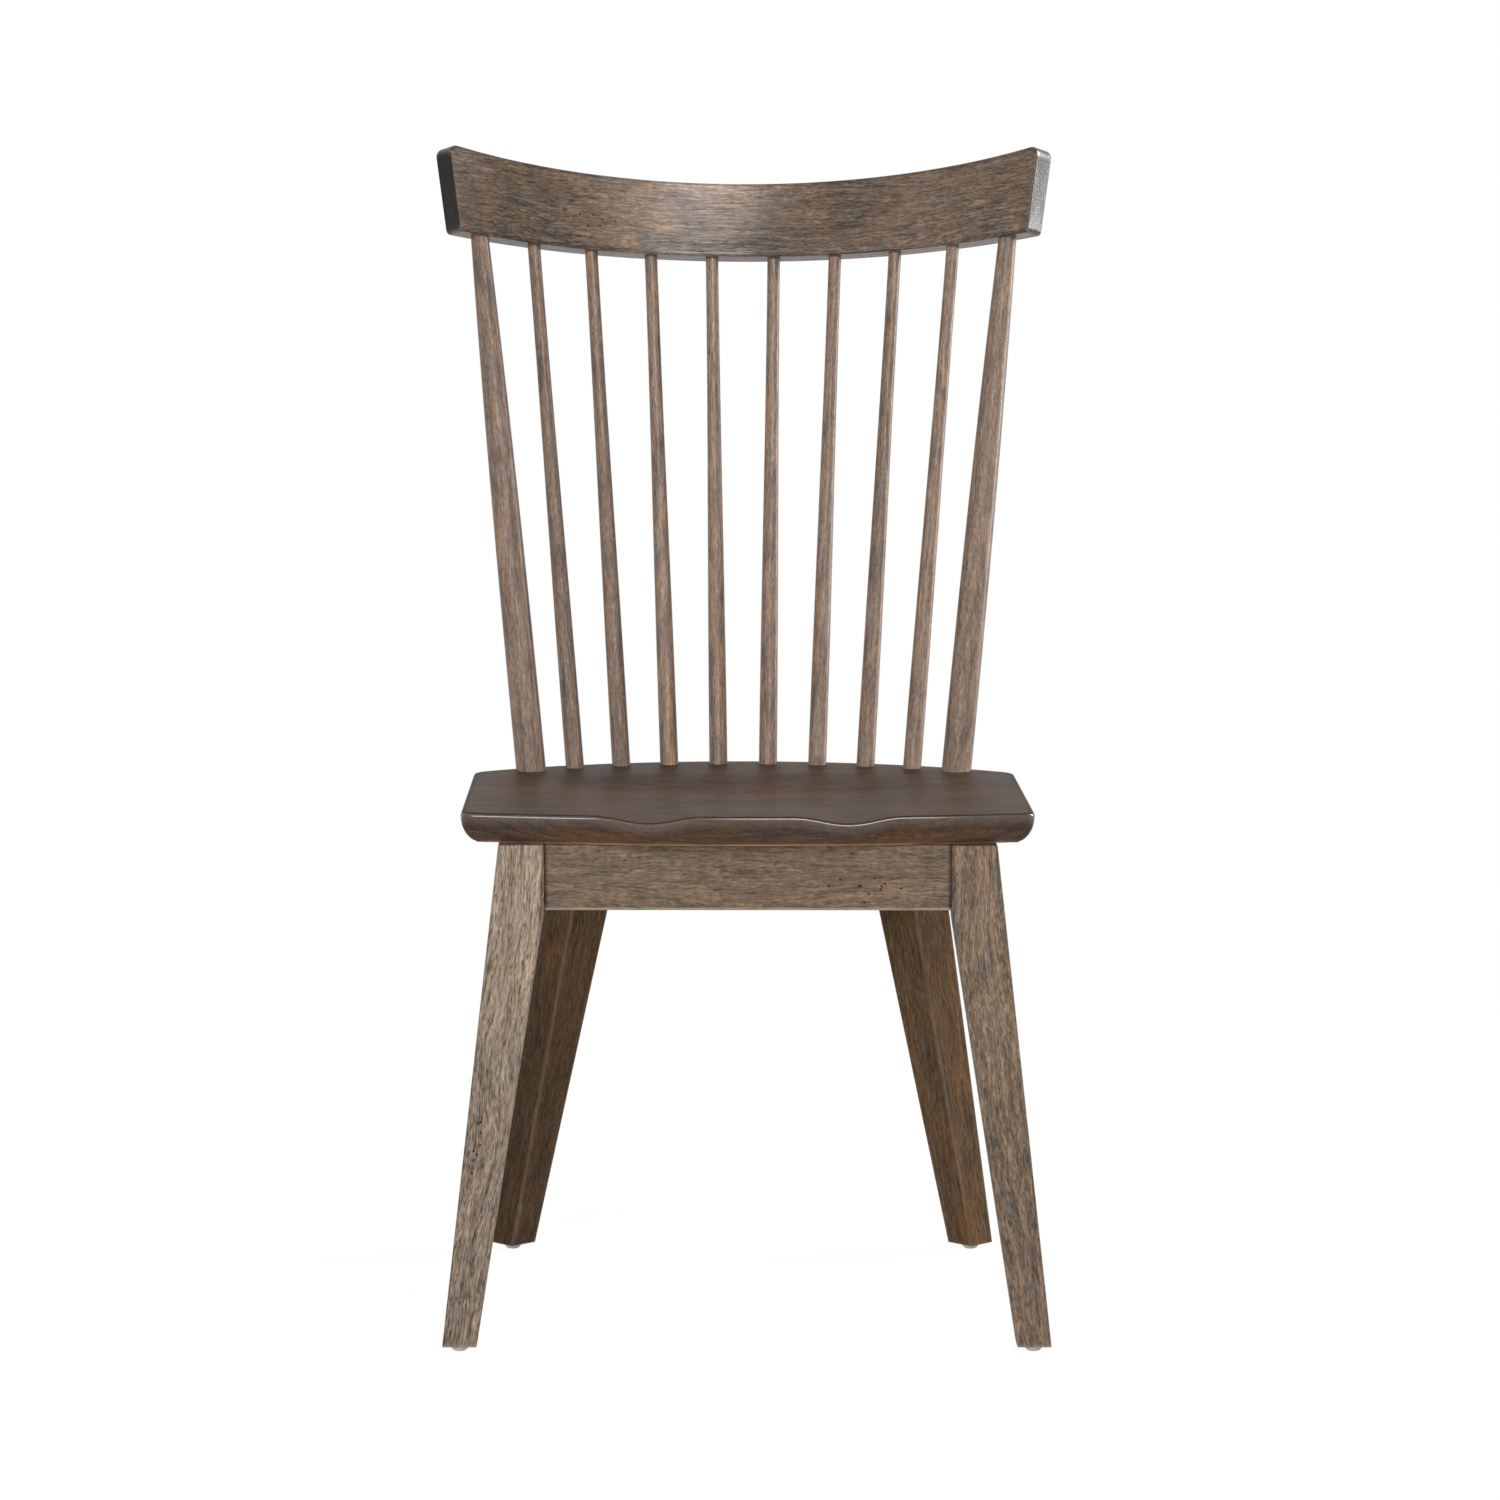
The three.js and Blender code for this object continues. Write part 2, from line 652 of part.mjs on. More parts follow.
// A low dome with a flat to stand on and an upright rim.
function glide() {
  const profile = [[0, 0]];
  const domeHeight = glideHeight - glideRimHeight;
  for (let step = 0; step <= glideSteps; step++) {
    const angle = (quarter * step) / glideSteps;
    const swell = ((glideDiameter - glideFlatDiameter) / 2) * Math.sin(angle);
    profile.push([glideFlatDiameter / 2 + swell, domeHeight * (1 - Math.cos(angle))]);
  }
  profile.push([glideDiameter / 2, glideHeight], [0, glideHeight]);
  return cut(turned(profile, fastenerSides), [glideNail(pieceGap)]);
}

// Holes for one corner's fasteners, for the right half
const upwards = point(0, 0, 1);
const boltHole = (corner) => placed(bolt(corner.depth, pieceGap), corner.boltStart, corner.inwards);
const screwHoles = (corner) =>
  corner.screws.map(({ start, length }) => placed(screw(length, pieceGap), start, corner.outwards));
const seatScrewLength = blockHeight + pieceGap + seatScrewBite;
const seatScrewHole = (corner) => placed(screw(seatScrewLength, pieceGap), corner.seatScrewStart, upwards);
const bothSides = (tools) => [...tools, ...tools.map((tool) => mirrored(mergeVertices(tool)))];

function block(corner) {
  const wood = board(corner.outline, frameTop - blockHeight, frameTop);
  return cut(wood, [boltHole(corner), ...screwHoles(corner), seatScrewHole(corner)]);
}

// Finishes
const finish = (color, roughness, metalness = 0) => new THREE.MeshStandardMaterial({ color, roughness, metalness });
const seatWood = () => finish(0x5a4d45, 0.45);
const frameWood = () => finish(0x7f6e5f, 0.7);
const legWood = () => finish(0x75655a, 0.75);
const blockWood = () => finish(0xb89a74, 0.85);
const zincSteel = () => finish(0xb4b4b0, 0.4, 0.9);
const paleNylon = () => finish(0xe4e2dc, 0.5);

// The chair, put together
const chair = new THREE.Group();

function add(name, geometry, material, start = point(0, 0, 0), direction = upwards) {
  const mesh = new THREE.Mesh(geometry, material);
  mesh.name = name;
  mesh.position.copy(start);
  mesh.quaternion.copy(turnTo(direction));
  chair.add(mesh);
}

// The same turned piece on the right and, mirrored, on the left.
function addPair(name, geometry, material, start, direction) {
  add(`${name}_right`, geometry, material(), start, direction);
  add(`${name}_left`, geometry, material(), mirror(start), mirror(direction));
}

function addMirrored(name, geometry, material) {
  add(`${name}_right`, geometry, material());
  add(`${name}_left`, mirrored(geometry), material());
}

const corners = { front: frontCorner, rear: rearCorner };
const feet = { front: point(frontFootX, 0, 0), rear: point(rearFoot.x, rearFoot.y, 0) };
const nailHole = (place) => placed(glideNail(pieceGap), feet[place], upwards);

const sockets = uprights.map(({ foot, direction, shape }) => placed(shape(pieceGap), foot, direction));
const seatScrewHoles = bothSides(Object.values(corners).map(seatScrewHole));
add("seat", seat([...sockets, ...seatScrewHoles]), seatWood());
add("crest_rail", crestRail(sockets), frameWood());
for (const { name, foot, direction, shape } of uprights) add(name, shape(0), frameWood(), foot, direction);

addMirrored("front_leg", frontLeg([boltHole(frontCorner), nailHole("front")]), legWood);
addMirrored("rear_leg", rearLeg([boltHole(rearCorner), nailHole("rear")]), legWood);
add("front_apron", frontApron(bothSides(screwHoles(frontCorner))), frameWood());
add("rear_apron", rearApron(bothSides([boltHole(rearCorner), ...screwHoles(rearCorner)])), frameWood());
addMirrored(
  "side_apron",
  sideApron([boltHole(rearCorner), ...screwHoles(frontCorner), ...screwHoles(rearCorner)]),
  frameWood,
);

for (const [place, corner] of Object.entries(corners)) {
  const { boltStart, inwards, outwards, depth } = corner;
  const along = (distance) => boltStart.clone().addScaledVector(inwards, distance);
  const washerStart = depth + pieceGap;
  const nutStart = washerStart + washerThickness + pieceGap;
  addMirrored(`${place}_corner_block`, block(corner), blockWood);
  addPair(`${place}_hanger_bolt`, bolt(depth, 0), zincSteel, boltStart, inwards);
  addPair(
    `${place}_washer`,
    drilledPlate(washerDiameter, fastenerSides, washerThickness),
    zincSteel,
    along(washerStart),
    inwards,
  );
  addPair(`${place}_nut`, drilledPlate(nutDiameter, nutSides, nutHeight), zincSteel, along(nutStart), inwards);
  corner.screws.forEach(({ start, length }, i) => {
    addPair(`${place}_block_screw_${i + 1}`, screw(length, 0), zincSteel, start, outwards);
  });
  addPair(`${place}_seat_screw`, screw(seatScrewLength, 0), zincSteel, corner.seatScrewStart, upwards);
  addPair(`${place}_glide`, glide(), paleNylon, feet[place], upwards);
  addPair(`${place}_glide_nail`, glideNail(0), zincSteel, feet[place], upwards);
}

// The part's origin is on the floor under the middle of the whole chair.
chair.updateMatrixWorld(true);
const middle = new THREE.Box3().setFromObject(chair, true).getCenter(point(0, 0, 0));
chair.position.set(-middle.x, -middle.y, 0);

const part = new THREE.Group();
part.add(chair);
export default part;
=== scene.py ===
"""The looks of a wooden spindle back dining chair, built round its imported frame.

Every length is in metres. The chair faces -Y, left is -X, and the floor is at z = 0.
"""

import math

import bpy
import numpy as np
from bpy.props import FloatProperty, FloatVectorProperty, IntProperty, PointerProperty
from mathutils import Matrix, Vector
from mathutils.geometry import convex_hull_2d


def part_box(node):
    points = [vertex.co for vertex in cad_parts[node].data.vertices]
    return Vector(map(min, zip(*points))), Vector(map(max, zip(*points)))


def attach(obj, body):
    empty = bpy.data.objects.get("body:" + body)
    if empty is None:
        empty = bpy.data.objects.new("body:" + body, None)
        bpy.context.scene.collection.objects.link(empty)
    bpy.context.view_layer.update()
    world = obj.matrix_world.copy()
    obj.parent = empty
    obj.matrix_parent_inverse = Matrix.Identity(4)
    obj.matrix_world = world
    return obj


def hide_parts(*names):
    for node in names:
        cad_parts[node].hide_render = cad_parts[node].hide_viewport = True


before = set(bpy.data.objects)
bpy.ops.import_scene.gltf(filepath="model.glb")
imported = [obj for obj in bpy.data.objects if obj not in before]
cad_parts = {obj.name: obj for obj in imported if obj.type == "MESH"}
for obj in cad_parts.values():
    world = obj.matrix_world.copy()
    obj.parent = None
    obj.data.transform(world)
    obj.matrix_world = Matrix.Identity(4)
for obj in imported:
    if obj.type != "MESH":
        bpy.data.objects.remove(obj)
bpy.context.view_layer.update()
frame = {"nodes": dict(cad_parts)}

bl_info = {
    "name": "Spindle Back Chair",
    "version": (1, 0, 0),
    "blender": (4, 5, 0),
    "location": "3D View > Sidebar > Chair",
    "description": "Dresses the frame of a spindle back chair in weathered wood",
    "category": "Add Mesh",
}

BODY = "root"
SIDES = (("left", -1), ("right", 1))
QUARTER = math.pi / 2
UP = np.array([0.0, 0.0, 1.0])
SEED = 11  # for each piece's own place in the wood
STOCK = 3.0  # every piece has its own place within this length of wood, in metres
END_RING = 0.97  # how far out the ring within an end face lies
END_STAIN_AND_JOINT_SHADE = 0.4  # how much darker stain makes end grain, and the painted shade on the edges in a joint


def length(name, description, default, low=0.0):
    """A size in metres that a user may change."""
    return FloatProperty(
        name=name, description=description, default=default, min=low, precision=4, unit="LENGTH"
    )


def tilt(name, description, degrees):
    """An angle that a user may change, given in degrees."""
    return FloatProperty(name=name, description=description, default=math.radians(degrees), subtype="ANGLE")


def power(name, description, watts):
    """A lamp's power that a user may change."""
    return FloatProperty(name=name, description=description, default=watts, min=0.0, max=2000.0, unit="POWER")


def tint(name, description, default):
    """A colour that a user may change."""
    return FloatVectorProperty(
        name=name, description=description, default=default, min=0.0, max=1.0, size=3, subtype="COLOR"
    )


def factor(name, description, default, low=0.0, high=1.0):
    """A plain number that a user may change."""
    return FloatProperty(name=name, description=description, default=default, min=low, max=high)


def rgb(red, green, blue):
    """A colour given in screen values from 0 to 255, as the light values that shaders take."""
    screen = np.array([red, green, blue]) / 255
    light = np.where(screen <= 0.04045, screen / 12.92, ((screen + 0.055) / 1.055) ** 2.4)
    return tuple(float(v) for v in light)


def group(kind, name, description):
    """A group of sizes or colours within the settings."""
    return PointerProperty(type=kind, name=name, description=description)


# Sizes and colours


class SeatSizes(bpy.types.PropertyGroup):
    """The saddled seat board."""

    front_bow: length("Front bow", "The front edge's middle ahead of its ends", 0.030)
    front_corner: length("Front corners", "Radius of the front corners in plan", 0.014)
    back_corner: length("Back corners", "Radius of the back corners in plan", 0.028)
    back_radius: length("Back edge radius", "Radius of the bowed back edge in plan", 0.373)
    top_edge: length("Top edge", "Radius of the edge round the top", 0.003)
    polish_drop: length("Polished height", "How far down from the upper edge the finish is polished", 0.009)
    lower_inset: length("Lower edge", "How far the rounded lower edge would draw in under the seat", 0.0175)
    lip: length("Lip", "Height of the upright lip that cuts the rounded lower edge off", 0.0006)
    # The rubbed lip and the glow above it are partly real wear and partly painted light from below.
    rubbed: length("Rubbed height", "How far up from the lip the finish is rubbed through", 0.0013)
    glow: length("Glow", "How far up from there the finish gets thicker", 0.008)
    rubbed_end: length("Unrubbed ends", "From the seat's sides to where the front lip is rubbed", 0.030)
    # Painted light: lightens the lower half of the front edge as if lit from below.
    painted_lower_light: factor("Lower edge light", "How much lighter the lower half of the edge is", 0.5)
    back_fall: length("Fall", "The back edge's top below the front edge's", 0.004)
    hollow_depth: length("Hollows", "Depth of the two thigh hollows at the front edge", 0.0062)
    hollow_offset: length("Hollow offset", "A hollow's middle from the seat's middle", 0.087)
    hollow_half_width: length("Hollow half width", "From a hollow's middle to its side", 0.048)
    dish_depth: length("Dish", "Depth of the broad dish behind the hollows", 0.008)
    dish_half_width: length("Dish half width", "From the dish's middle to its side", 0.205)
    dish_run_in: length("Dish run-in", "From the front edge to the dish's full width", 0.190)
    deck_start: length("Deck start", "From the front edge to where the dish starts to rise", 0.245)
    deck_full: length("Deck", "From the front edge to the flat deck", 0.345)


class BackSizes(bpy.types.PropertyGroup):
    """The posts, the spindles and the crest rail."""

    spindle_foot: length("Spindle foot", "Diameter of a spindle at the seat", 0.017)
    spindle_top: length("Spindle top", "Diameter of a spindle at the crest rail", 0.012)
    post_foot: length("Post foot", "Diameter of a post at the seat", 0.0276)
    post_top: length("Post top", "Diameter of a post at the crest rail", 0.0168)
    seat_socket: length("Seat socket", "Depth of an upright in the seat", 0.018)
    crest_socket: length("Crest socket", "Depth of an upright in the crest rail", 0.020)
    lean: tilt("Lean", "Lean of the back from upright", 15.97)
    bend_radius: length("Bend radius", "Bend of the crest rail, at the middle of its thickness", 0.4245)
    crest_thickness: length("Crest thickness", "Thickness of the crest rail", 0.023)
    crest_middle: length("Crest middle", "Height of the crest rail at its middle", 0.0715)
    crest_end: length("Crest end", "Height of the crest rail at its ends", 0.0818)
    crest_bottom: length("Crest length", "Length of its underside, along the bend", 0.5885)
    crest_overhang: length("Crest overhang", "Each end's top past its bottom, along the bend", 0.0145)
    crest_corner: length("Crest corners", "Radius of the upper corners, seen from the front", 0.010)
    crest_lower_corner: length("Crest lower corners", "Radius of the lower corners", 0.003)
    crest_edge: length("Crest edges", "Radius of the long edges", 0.0025)
    held_place: length("Held place", "Where the crest rail is held most, from its middle", -0.045, low=-1.0)
    held_reach: length("Held reach", "How far along the crest rail it is held", 0.060)
    end_shade: factor("End shade", "How much darker the end grain of the crest rail is", 0.90)
    end_polish: factor("End polish", "How far the crest rail's right end is polished", 0.22)
    # Edge shade is painted shade along the crest rail's long edges.
    painted_edge_shade: factor("Edge shade", "How much darker the crest rail's long edges are", 0.35)
    # Underside is painted light on the crest rail's underside.
    painted_under_light: factor("Underside", "How much lighter the underside of the crest rail is", 0.20)
    crest_end_edge: length("Crest end edges", "Radius of the edges round an end", 0.0012)


class FrameSizes(bpy.types.PropertyGroup):
    """The legs, the aprons and the corner blocks."""

    foot_width: length("Foot width", "Side of every leg's square foot", 0.030)
    front_top_width: length("Front leg width", "Width of a front leg at its top", 0.040)
    front_top_depth: length("Front leg depth", "Depth of a front leg at its top", 0.044)
    bolt_flat: length("Bolt flat", "Width of the flat on a front leg's inner corner", 0.014)
    bolt_fade: length("Bolt flat fade", "The height in which that flat runs out", 0.014)
    rear_top_width: length("Rear leg width", "Width of a rear leg's inner face at its top", 0.0495)
    rear_top_thickness: length("Rear leg thickness", "Thickness of a rear leg at its top", 0.0365)
    rear_splay: length("Rear splay", "From a rear foot's middle to the inner face, on the diagonal", 0.120)
    front_leg_edge: length("Front leg edges", "Radius of a front leg's long edges", 0.0018)
    rear_leg_edge: length("Rear leg edges", "Radius of a rear leg's long edges", 0.0009)
    apron_edge: length("Apron edges", "Radius of an apron's edges", 0.0012)
    block_edge: length("Block edges", "Radius of a corner block's edges", 0.0010)


class GlideSizes(bpy.types.PropertyGroup):
    """The nylon glides under the feet."""

    flat_diameter: length("Flat", "Diameter of the flat that stands on the floor", 0.007)
    rim_height: length("Rim", "Height of the upright rim", 0.0012)


class WoodLook(bpy.types.PropertyGroup):
    """One finish of the stained wood."""

    body: tint("Wood", "The main colour", rgb(150, 133, 118))
    grey: tint("Grey", "The colour of the greyed patches", rgb(112, 103, 96))
    warm: tint("Warm", "The colour of the warm patches", rgb(160, 137, 115))
    pore: tint("Pores", "The colour in the open pores", rgb(66, 53, 43))
    worn: tint("Worn", "The colour of the rubbed edges", rgb(178, 158, 136))
    hole: tint("Holes", "The colour in the small holes", (0.016, 0.011, 0.008))
    pore_strength: factor("Pore strength", "How dark the pores are", 0.8)
    pore_share: factor("Pore share", "How much of the surface has pores", 0.4)
    pore_length: length("Pore length", "Length of a pore along the grain", 0.014)
    pore_width: length("Pore width", "Width of a pore across the grain", 0.001)
    line_strength: factor("Line strength", "How dark the long wavy lines of open grain are", 0.3)
    line_gap: length("Line gap", "From one line of open grain to the next", 0.0034)
    fibre_strength: factor("Fibre", "How strongly the fine fibre shows", 0.5)
    mottle: factor("Mottle", "How strongly short bands across the fibre show", 0.0)
    ring_strength: factor("Rings", "How strongly the growth rings show", 0.3)
    ring_spacing: length("Ring spacing", "Width of a growth ring", 0.006)
    patch_strength: factor("Patches", "How strongly grey and warm patches show", 0.8)
    patch_length: length("Patch length", "Length of a patch along the grain", 0.070)
    patch_width: length("Patch width", "Width of a patch across the grain", 0.022)
    worn_strength: factor("Wear", "How far the edges are rubbed", 0.35)
    gloss: factor("Gloss", "How strongly the finish reflects", 0.25)
    roughness: factor("Roughness", "Roughness of the finish", 0.5)
    relief: length("Relief", "Depth of the open grain", 0.0002)
    edge_polish: factor("Edge polish", "How far the eased edges are polished by hands", 0.4)


class PlainLook(bpy.types.PropertyGroup):
    """The bare wood, the zinc plate and the nylon."""

    block: tint("Block wood", "The bare wood between its fibres", rgb(186, 156, 118))
    block_light: tint("Block fibres", "The light fibres of the bare wood", rgb(204, 178, 142))
    block_ring: tint("Block rings", "The darker rings of the bare wood", rgb(168, 134, 96))
    zinc_warm: tint("Warm zinc", "The yellow side of the zinc's bloom", rgb(196, 194, 180))
    zinc_cool: tint("Cool zinc", "The blue side of the zinc's bloom", rgb(180, 184, 190))
    nylon: tint("Nylon", "The clean nylon", rgb(226, 223, 216))
    nylon_scuffed: tint("Scuffed nylon", "The nylon that rubs on the floor", rgb(150, 144, 136))


class StageLook(bpy.types.PropertyGroup):
    """The camera, the light and the floor."""

    focal_length: FloatProperty(
        name="Focal length", description="The lens's, in millimetres", default=131.07, unit="CAMERA"
    )
    camera_place: FloatVectorProperty(
        name="Camera",
        description="The camera's place",
        default=(-0.0556, -4.9552, 1.0721),
        subtype="TRANSLATION",
    )
    pitch: tilt("Pitch", "How far the camera looks down", 6.65)
    yaw: tilt("Yaw", "How far the camera looks to the right", 0.698)
    roll: tilt("Roll", "How far the camera is tilted to one side", 0.15)
    sky: factor("Sky", "Strength of the even light", 0.14, high=4.0)
    key_power: power("Key", "The lamp high in front, in watts", 80.0)
    rim_power: power("Rim", "The narrow lamp behind on the right, in watts", 75.0)
    fill_power: power("Fill", "The broad lamp low in front on the left, in watts", 70.0)
    floor: tint("Floor", "The floor's colour", (0.66, 0.66, 0.66))


class ChairSettings(bpy.types.PropertyGroup):
    """All of the chair's sizes and looks."""

    seat: group(SeatSizes, "Seat", "Sizes of the seat board")
    back: group(BackSizes, "Back", "Sizes of the posts, spindles and crest rail")
    frame: group(FrameSizes, "Frame", "Sizes of the legs, aprons and blocks")
    glide: group(GlideSizes, "Glides", "Sizes of the glides")
    seat_wood: group(WoodLook, "Seat wood", "Finish of the seat")
    crest_wood: group(WoodLook, "Crest wood", "Finish of the crest rail")
    spindle_wood: group(WoodLook, "Spindle wood", "Finish of the posts and spindles")
    apron_wood: group(WoodLook, "Apron wood", "Finish of the aprons")
    leg_wood: group(WoodLook, "Leg wood", "Finish of the left front leg")
    quartered_leg_wood: group(WoodLook, "Quartered leg wood", "Finish of the right front leg")
    rear_leg_wood: group(WoodLook, "Rear leg wood", "Finish of the rear legs")
    plain: group(PlainLook, "Plain materials", "Bare wood, zinc plate and nylon")
    arc_steps: IntProperty(name="Edge steps", description="Steps round an eased edge", default=4, min=1)
    stage: group(StageLook, "Stage", "Camera, light and floor")


# How much darker each piece is than its finish: at its foot or left end, and at the other
SHADES = {
    "back_post_left": (0.02, 0.12),
    "spindle_1": (0.10, 0.24),
    "spindle_2": (0.10, 0.12),
    "spindle_3": (-0.10, -0.02),
    "spindle_4": (-0.10, -0.02),
    "spindle_5": (0.0, 0.02),
    "spindle_6": (0.0, 0.04),
    "spindle_7": (0.02, 0.14),
    "spindle_8": (-0.03, 0.02),
    "back_post_right": (0.02, 0.10),
    # The left front leg's lighter top is partly its wood and partly a painted sheen from the lamp in front.
    "front_leg_left": (0.26, -0.02),
    "front_leg_right": (0.12, 0.06),
    "rear_leg_left": (0.22, -0.04),
    # The right rear leg's lightness is partly its wood and partly painted light on its inner face.
    "rear_leg_right": (-0.16, -0.06),
}

# Soft spots: place along and across the grain, reach along and across, how much the spot
# leans (its rise across for a step along), and how much darker it is, less than 0 for lighter
SPOTS = {
    "crest_rail": (
        # The two strongest lighter spots are partly lighter wood and partly a painted sheen where the front
        # lamp's highlight lies.
        (-0.100, 0.028, 0.050, 0.045, 0.0, -0.60),
        (-0.028, 0.070, 0.070, 0.030, 0.0, -0.85),
        (0.190, 0.035, 0.100, 0.100, 0.0, -0.27),
        (-0.250, 0.030, 0.050, 0.030, 0.0, 0.16),
        (-0.215, 0.060, 0.035, 0.012, -0.1, 0.14),
        (-0.060, 0.012, 0.040, 0.010, 0.1, 0.12),
        (0.020, 0.014, 0.055, 0.012, 0.15, 0.16),
        (0.115, 0.050, 0.050, 0.030, 0.1, 0.12),
    ),
    "front_leg_left": (
        (0.440, -0.013, 0.045, 0.006, -0.02, -0.22),
        (0.420, 0.004, 0.060, 0.008, 0.02, 0.14),
        (0.330, 0.012, 0.050, 0.008, 0.0, 0.10),
        (0.180, 0.010, 0.050, 0.012, 0.0, 0.12),
    ),
    "front_leg_right": (
        (0.445, -0.006, 0.045, 0.009, 0.05, 0.16),
        (0.400, 0.009, 0.030, 0.006, 0.1, -0.16),
        (0.330, 0.000, 0.060, 0.010, 0.0, -0.10),
        (0.150, 0.000, 0.080, 0.020, 0.0, 0.08),
    ),
    # Painted light: lightens the right rear leg's inner face, as lit from the left.
    "rear_leg_right": ((0.200, -0.018, 0.250, 0.014, 0.0, -0.20),),
    "front_apron": (
        (-0.170, 0.450, 0.030, 0.012, 0.0, 0.14),
        (0.015, 0.430, 0.040, 0.014, -0.1, 0.12),
        (-0.080, 0.420, 0.060, 0.016, 0.0, -0.08),
        (0.110, 0.400, 0.070, 0.010, 0.0, -0.08),
    ),
}

# Middles of the small holes in the wood, along and across the grain
PINHOLES = {
    "crest_rail": (
        (-0.179, 0.035), (-0.163, 0.033), (-0.149, 0.034), (-0.140, 0.030), (-0.126, 0.029),
        (-0.154, 0.023), (-0.142, 0.024),
    ),
    "front_apron": (
        (0.080, 0.413), (0.070, 0.407), (0.110, 0.414), (0.096, 0.407), (0.098, 0.407), (0.119, 0.409),
        (0.116, 0.407), (0.115, 0.404), (0.105, 0.400), (0.101, 0.393), (0.133, 0.405),
    ),
    "front_leg_left": (
        (0.201, 0.009), (0.202, 0.007), (0.193, 0.006), (0.182, 0.005), (0.177, 0.010), (0.174, 0.007),
        (0.169, 0.009), (0.158, 0.009),
    ),
}

# What each finish sets otherwise than the defaults, before anything is built
FINISHES = {
    "seat_wood": dict(
        body=rgb(77, 59, 45), grey=rgb(66, 56, 50), warm=rgb(87, 62, 46), pore=rgb(46, 35, 27),
        # The worn colour on the seat's lip is partly real wear and partly painted light from below.
        worn=rgb(176, 132, 98), worn_strength=1.0, edge_polish=1.0,
        pore_strength=0.35, pore_share=0.3, pore_length=0.008, pore_width=0.0011,
        line_strength=0.35, fibre_strength=0.34, mottle=0.12, ring_strength=0.35,
        patch_strength=0.75, patch_length=0.160, patch_width=0.050,
        gloss=0.05, roughness=0.5, relief=0.00003,
    ),
    "crest_wood": dict(
        body=rgb(110, 93, 79), grey=rgb(91, 83, 76), warm=rgb(119, 99, 81), pore=rgb(40, 30, 24),
        worn_strength=0.0, edge_polish=0.7,
        pore_strength=0.65, pore_share=0.45, pore_length=0.0070, pore_width=0.0010,
        line_strength=0.75, line_gap=0.0026, fibre_strength=0.60, mottle=0.15, ring_strength=0.3,
        patch_strength=0.7, patch_length=0.045,
        gloss=0.17, roughness=0.26, relief=0.00006,
    ),
    "spindle_wood": dict(
        body=rgb(146, 125, 109), grey=rgb(116, 101, 90), warm=rgb(152, 124, 102), pore=rgb(66, 51, 41),
        worn_strength=0.0,
        pore_strength=0.4, pore_share=0.45, pore_length=0.004, pore_width=0.0009,
        line_strength=0.35, line_gap=0.0018, fibre_strength=0.42,
        patch_strength=0.8, patch_length=0.060, patch_width=0.010,
        gloss=0.20, roughness=0.32, relief=0.00005,
    ),
    "apron_wood": dict(
        body=rgb(116, 98, 82), grey=rgb(94, 84, 75), warm=rgb(125, 104, 84), pore=rgb(60, 46, 36),
        worn_strength=0.6,
        pore_strength=0.5, pore_share=0.4, pore_length=0.007, pore_width=0.0011,
        line_strength=0.4, line_gap=0.0022, fibre_strength=0.50, mottle=0.15, ring_strength=0.2,
        patch_strength=0.6, patch_length=0.050,
        gloss=0.12, roughness=0.55, relief=0.00006,
    ),
    "leg_wood": dict(
        body=rgb(160, 142, 124), grey=rgb(136, 124, 113), warm=rgb(167, 145, 122), pore=rgb(60, 48, 39),
        pore_strength=0.7, pore_share=0.38, pore_length=0.011, pore_width=0.0011,
        line_strength=0.75, line_gap=0.0024, fibre_strength=0.5,
        patch_strength=0.85, patch_length=0.090, patch_width=0.009,
        gloss=0.12, roughness=0.55, relief=0.00012,
    ),
    "quartered_leg_wood": dict(
        body=rgb(134, 114, 96), grey=rgb(108, 98, 90), warm=rgb(144, 120, 96), pore=rgb(60, 47, 38),
        pore_strength=0.55, pore_share=0.5, pore_length=0.0055, pore_width=0.0011,
        line_strength=0.5, line_gap=0.0028, fibre_strength=0.55,
        patch_strength=0.8, patch_length=0.045, patch_width=0.014,
        gloss=0.12, roughness=0.55, relief=0.00008,
    ),
    "rear_leg_wood": dict(
        body=rgb(94, 73, 53), grey=rgb(82, 68, 54), warm=rgb(106, 78, 52), pore=rgb(44, 33, 24),
        worn=rgb(116, 93, 70), worn_strength=0.35,
        pore_strength=0.5, pore_length=0.012, pore_width=0.0011,
        line_strength=0.4, line_gap=0.0022, fibre_strength=0.55,
        gloss=0.06, roughness=0.55, relief=0.00006,
    ),
}


# Shapes


def smoothstep(value, low, high):
    """The smooth climb from 0 at low to 1 at high."""
    share = np.clip((value - low) / (high - low), 0, 1)
    return share * share * (3 - 2 * share)


def unit(vectors):
    """The vectors at length 1."""
    return vectors / np.linalg.norm(vectors, axis=-1, keepdims=True)


def round_points(angle):
    """The points at the given turns on a circle of radius 1."""
    return np.stack([np.cos(angle), np.sin(angle)], axis=-1)


def full_circle(count):
    """Even points round a circle of radius 1, anticlockwise."""
    return round_points(np.linspace(0, 2 * math.pi, count, endpoint=False))


def lifted(plan, z):
    """Rings in plan (stations, around, 2) with each one set at its height."""
    heights = np.broadcast_to(z[:, None, None], (*plan.shape[:2], 1))
    return np.concatenate([plan, heights], axis=-1)


def board_place(along, section):
    """Each point's place in its board: along it, given ring by ring, then across and through."""
    return np.roll(lifted(section, along), 1, axis=-1)


def corners_of(node):
    """A node's lowest and highest corners as arrays."""
    low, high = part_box(node)
    return np.array(low), np.array(high)


def points_of(node):
    """A node's vertices, each place once."""
    mesh = frame["nodes"][node].data
    places = np.empty(len(mesh.vertices) * 3)
    mesh.vertices.foreach_get("co", places)
    return np.unique(places.reshape(-1, 3).round(6), axis=0)


def axis_of(node):
    """The two ends of a long round node's middle line, low end first: the middles of the
    vertices that lie furthest along its longest direction."""
    points = points_of(node)
    middle = points.mean(axis=0)
    direction = np.linalg.svd(points - middle, full_matrices=False)[2][0]
    direction = direction * np.sign(direction[2])
    along = (points - middle) @ direction
    near = 0.0004  # vertices this close to an end make it up
    return points[along < along.min() + near].mean(axis=0), points[along > along.max() - near].mean(axis=0)


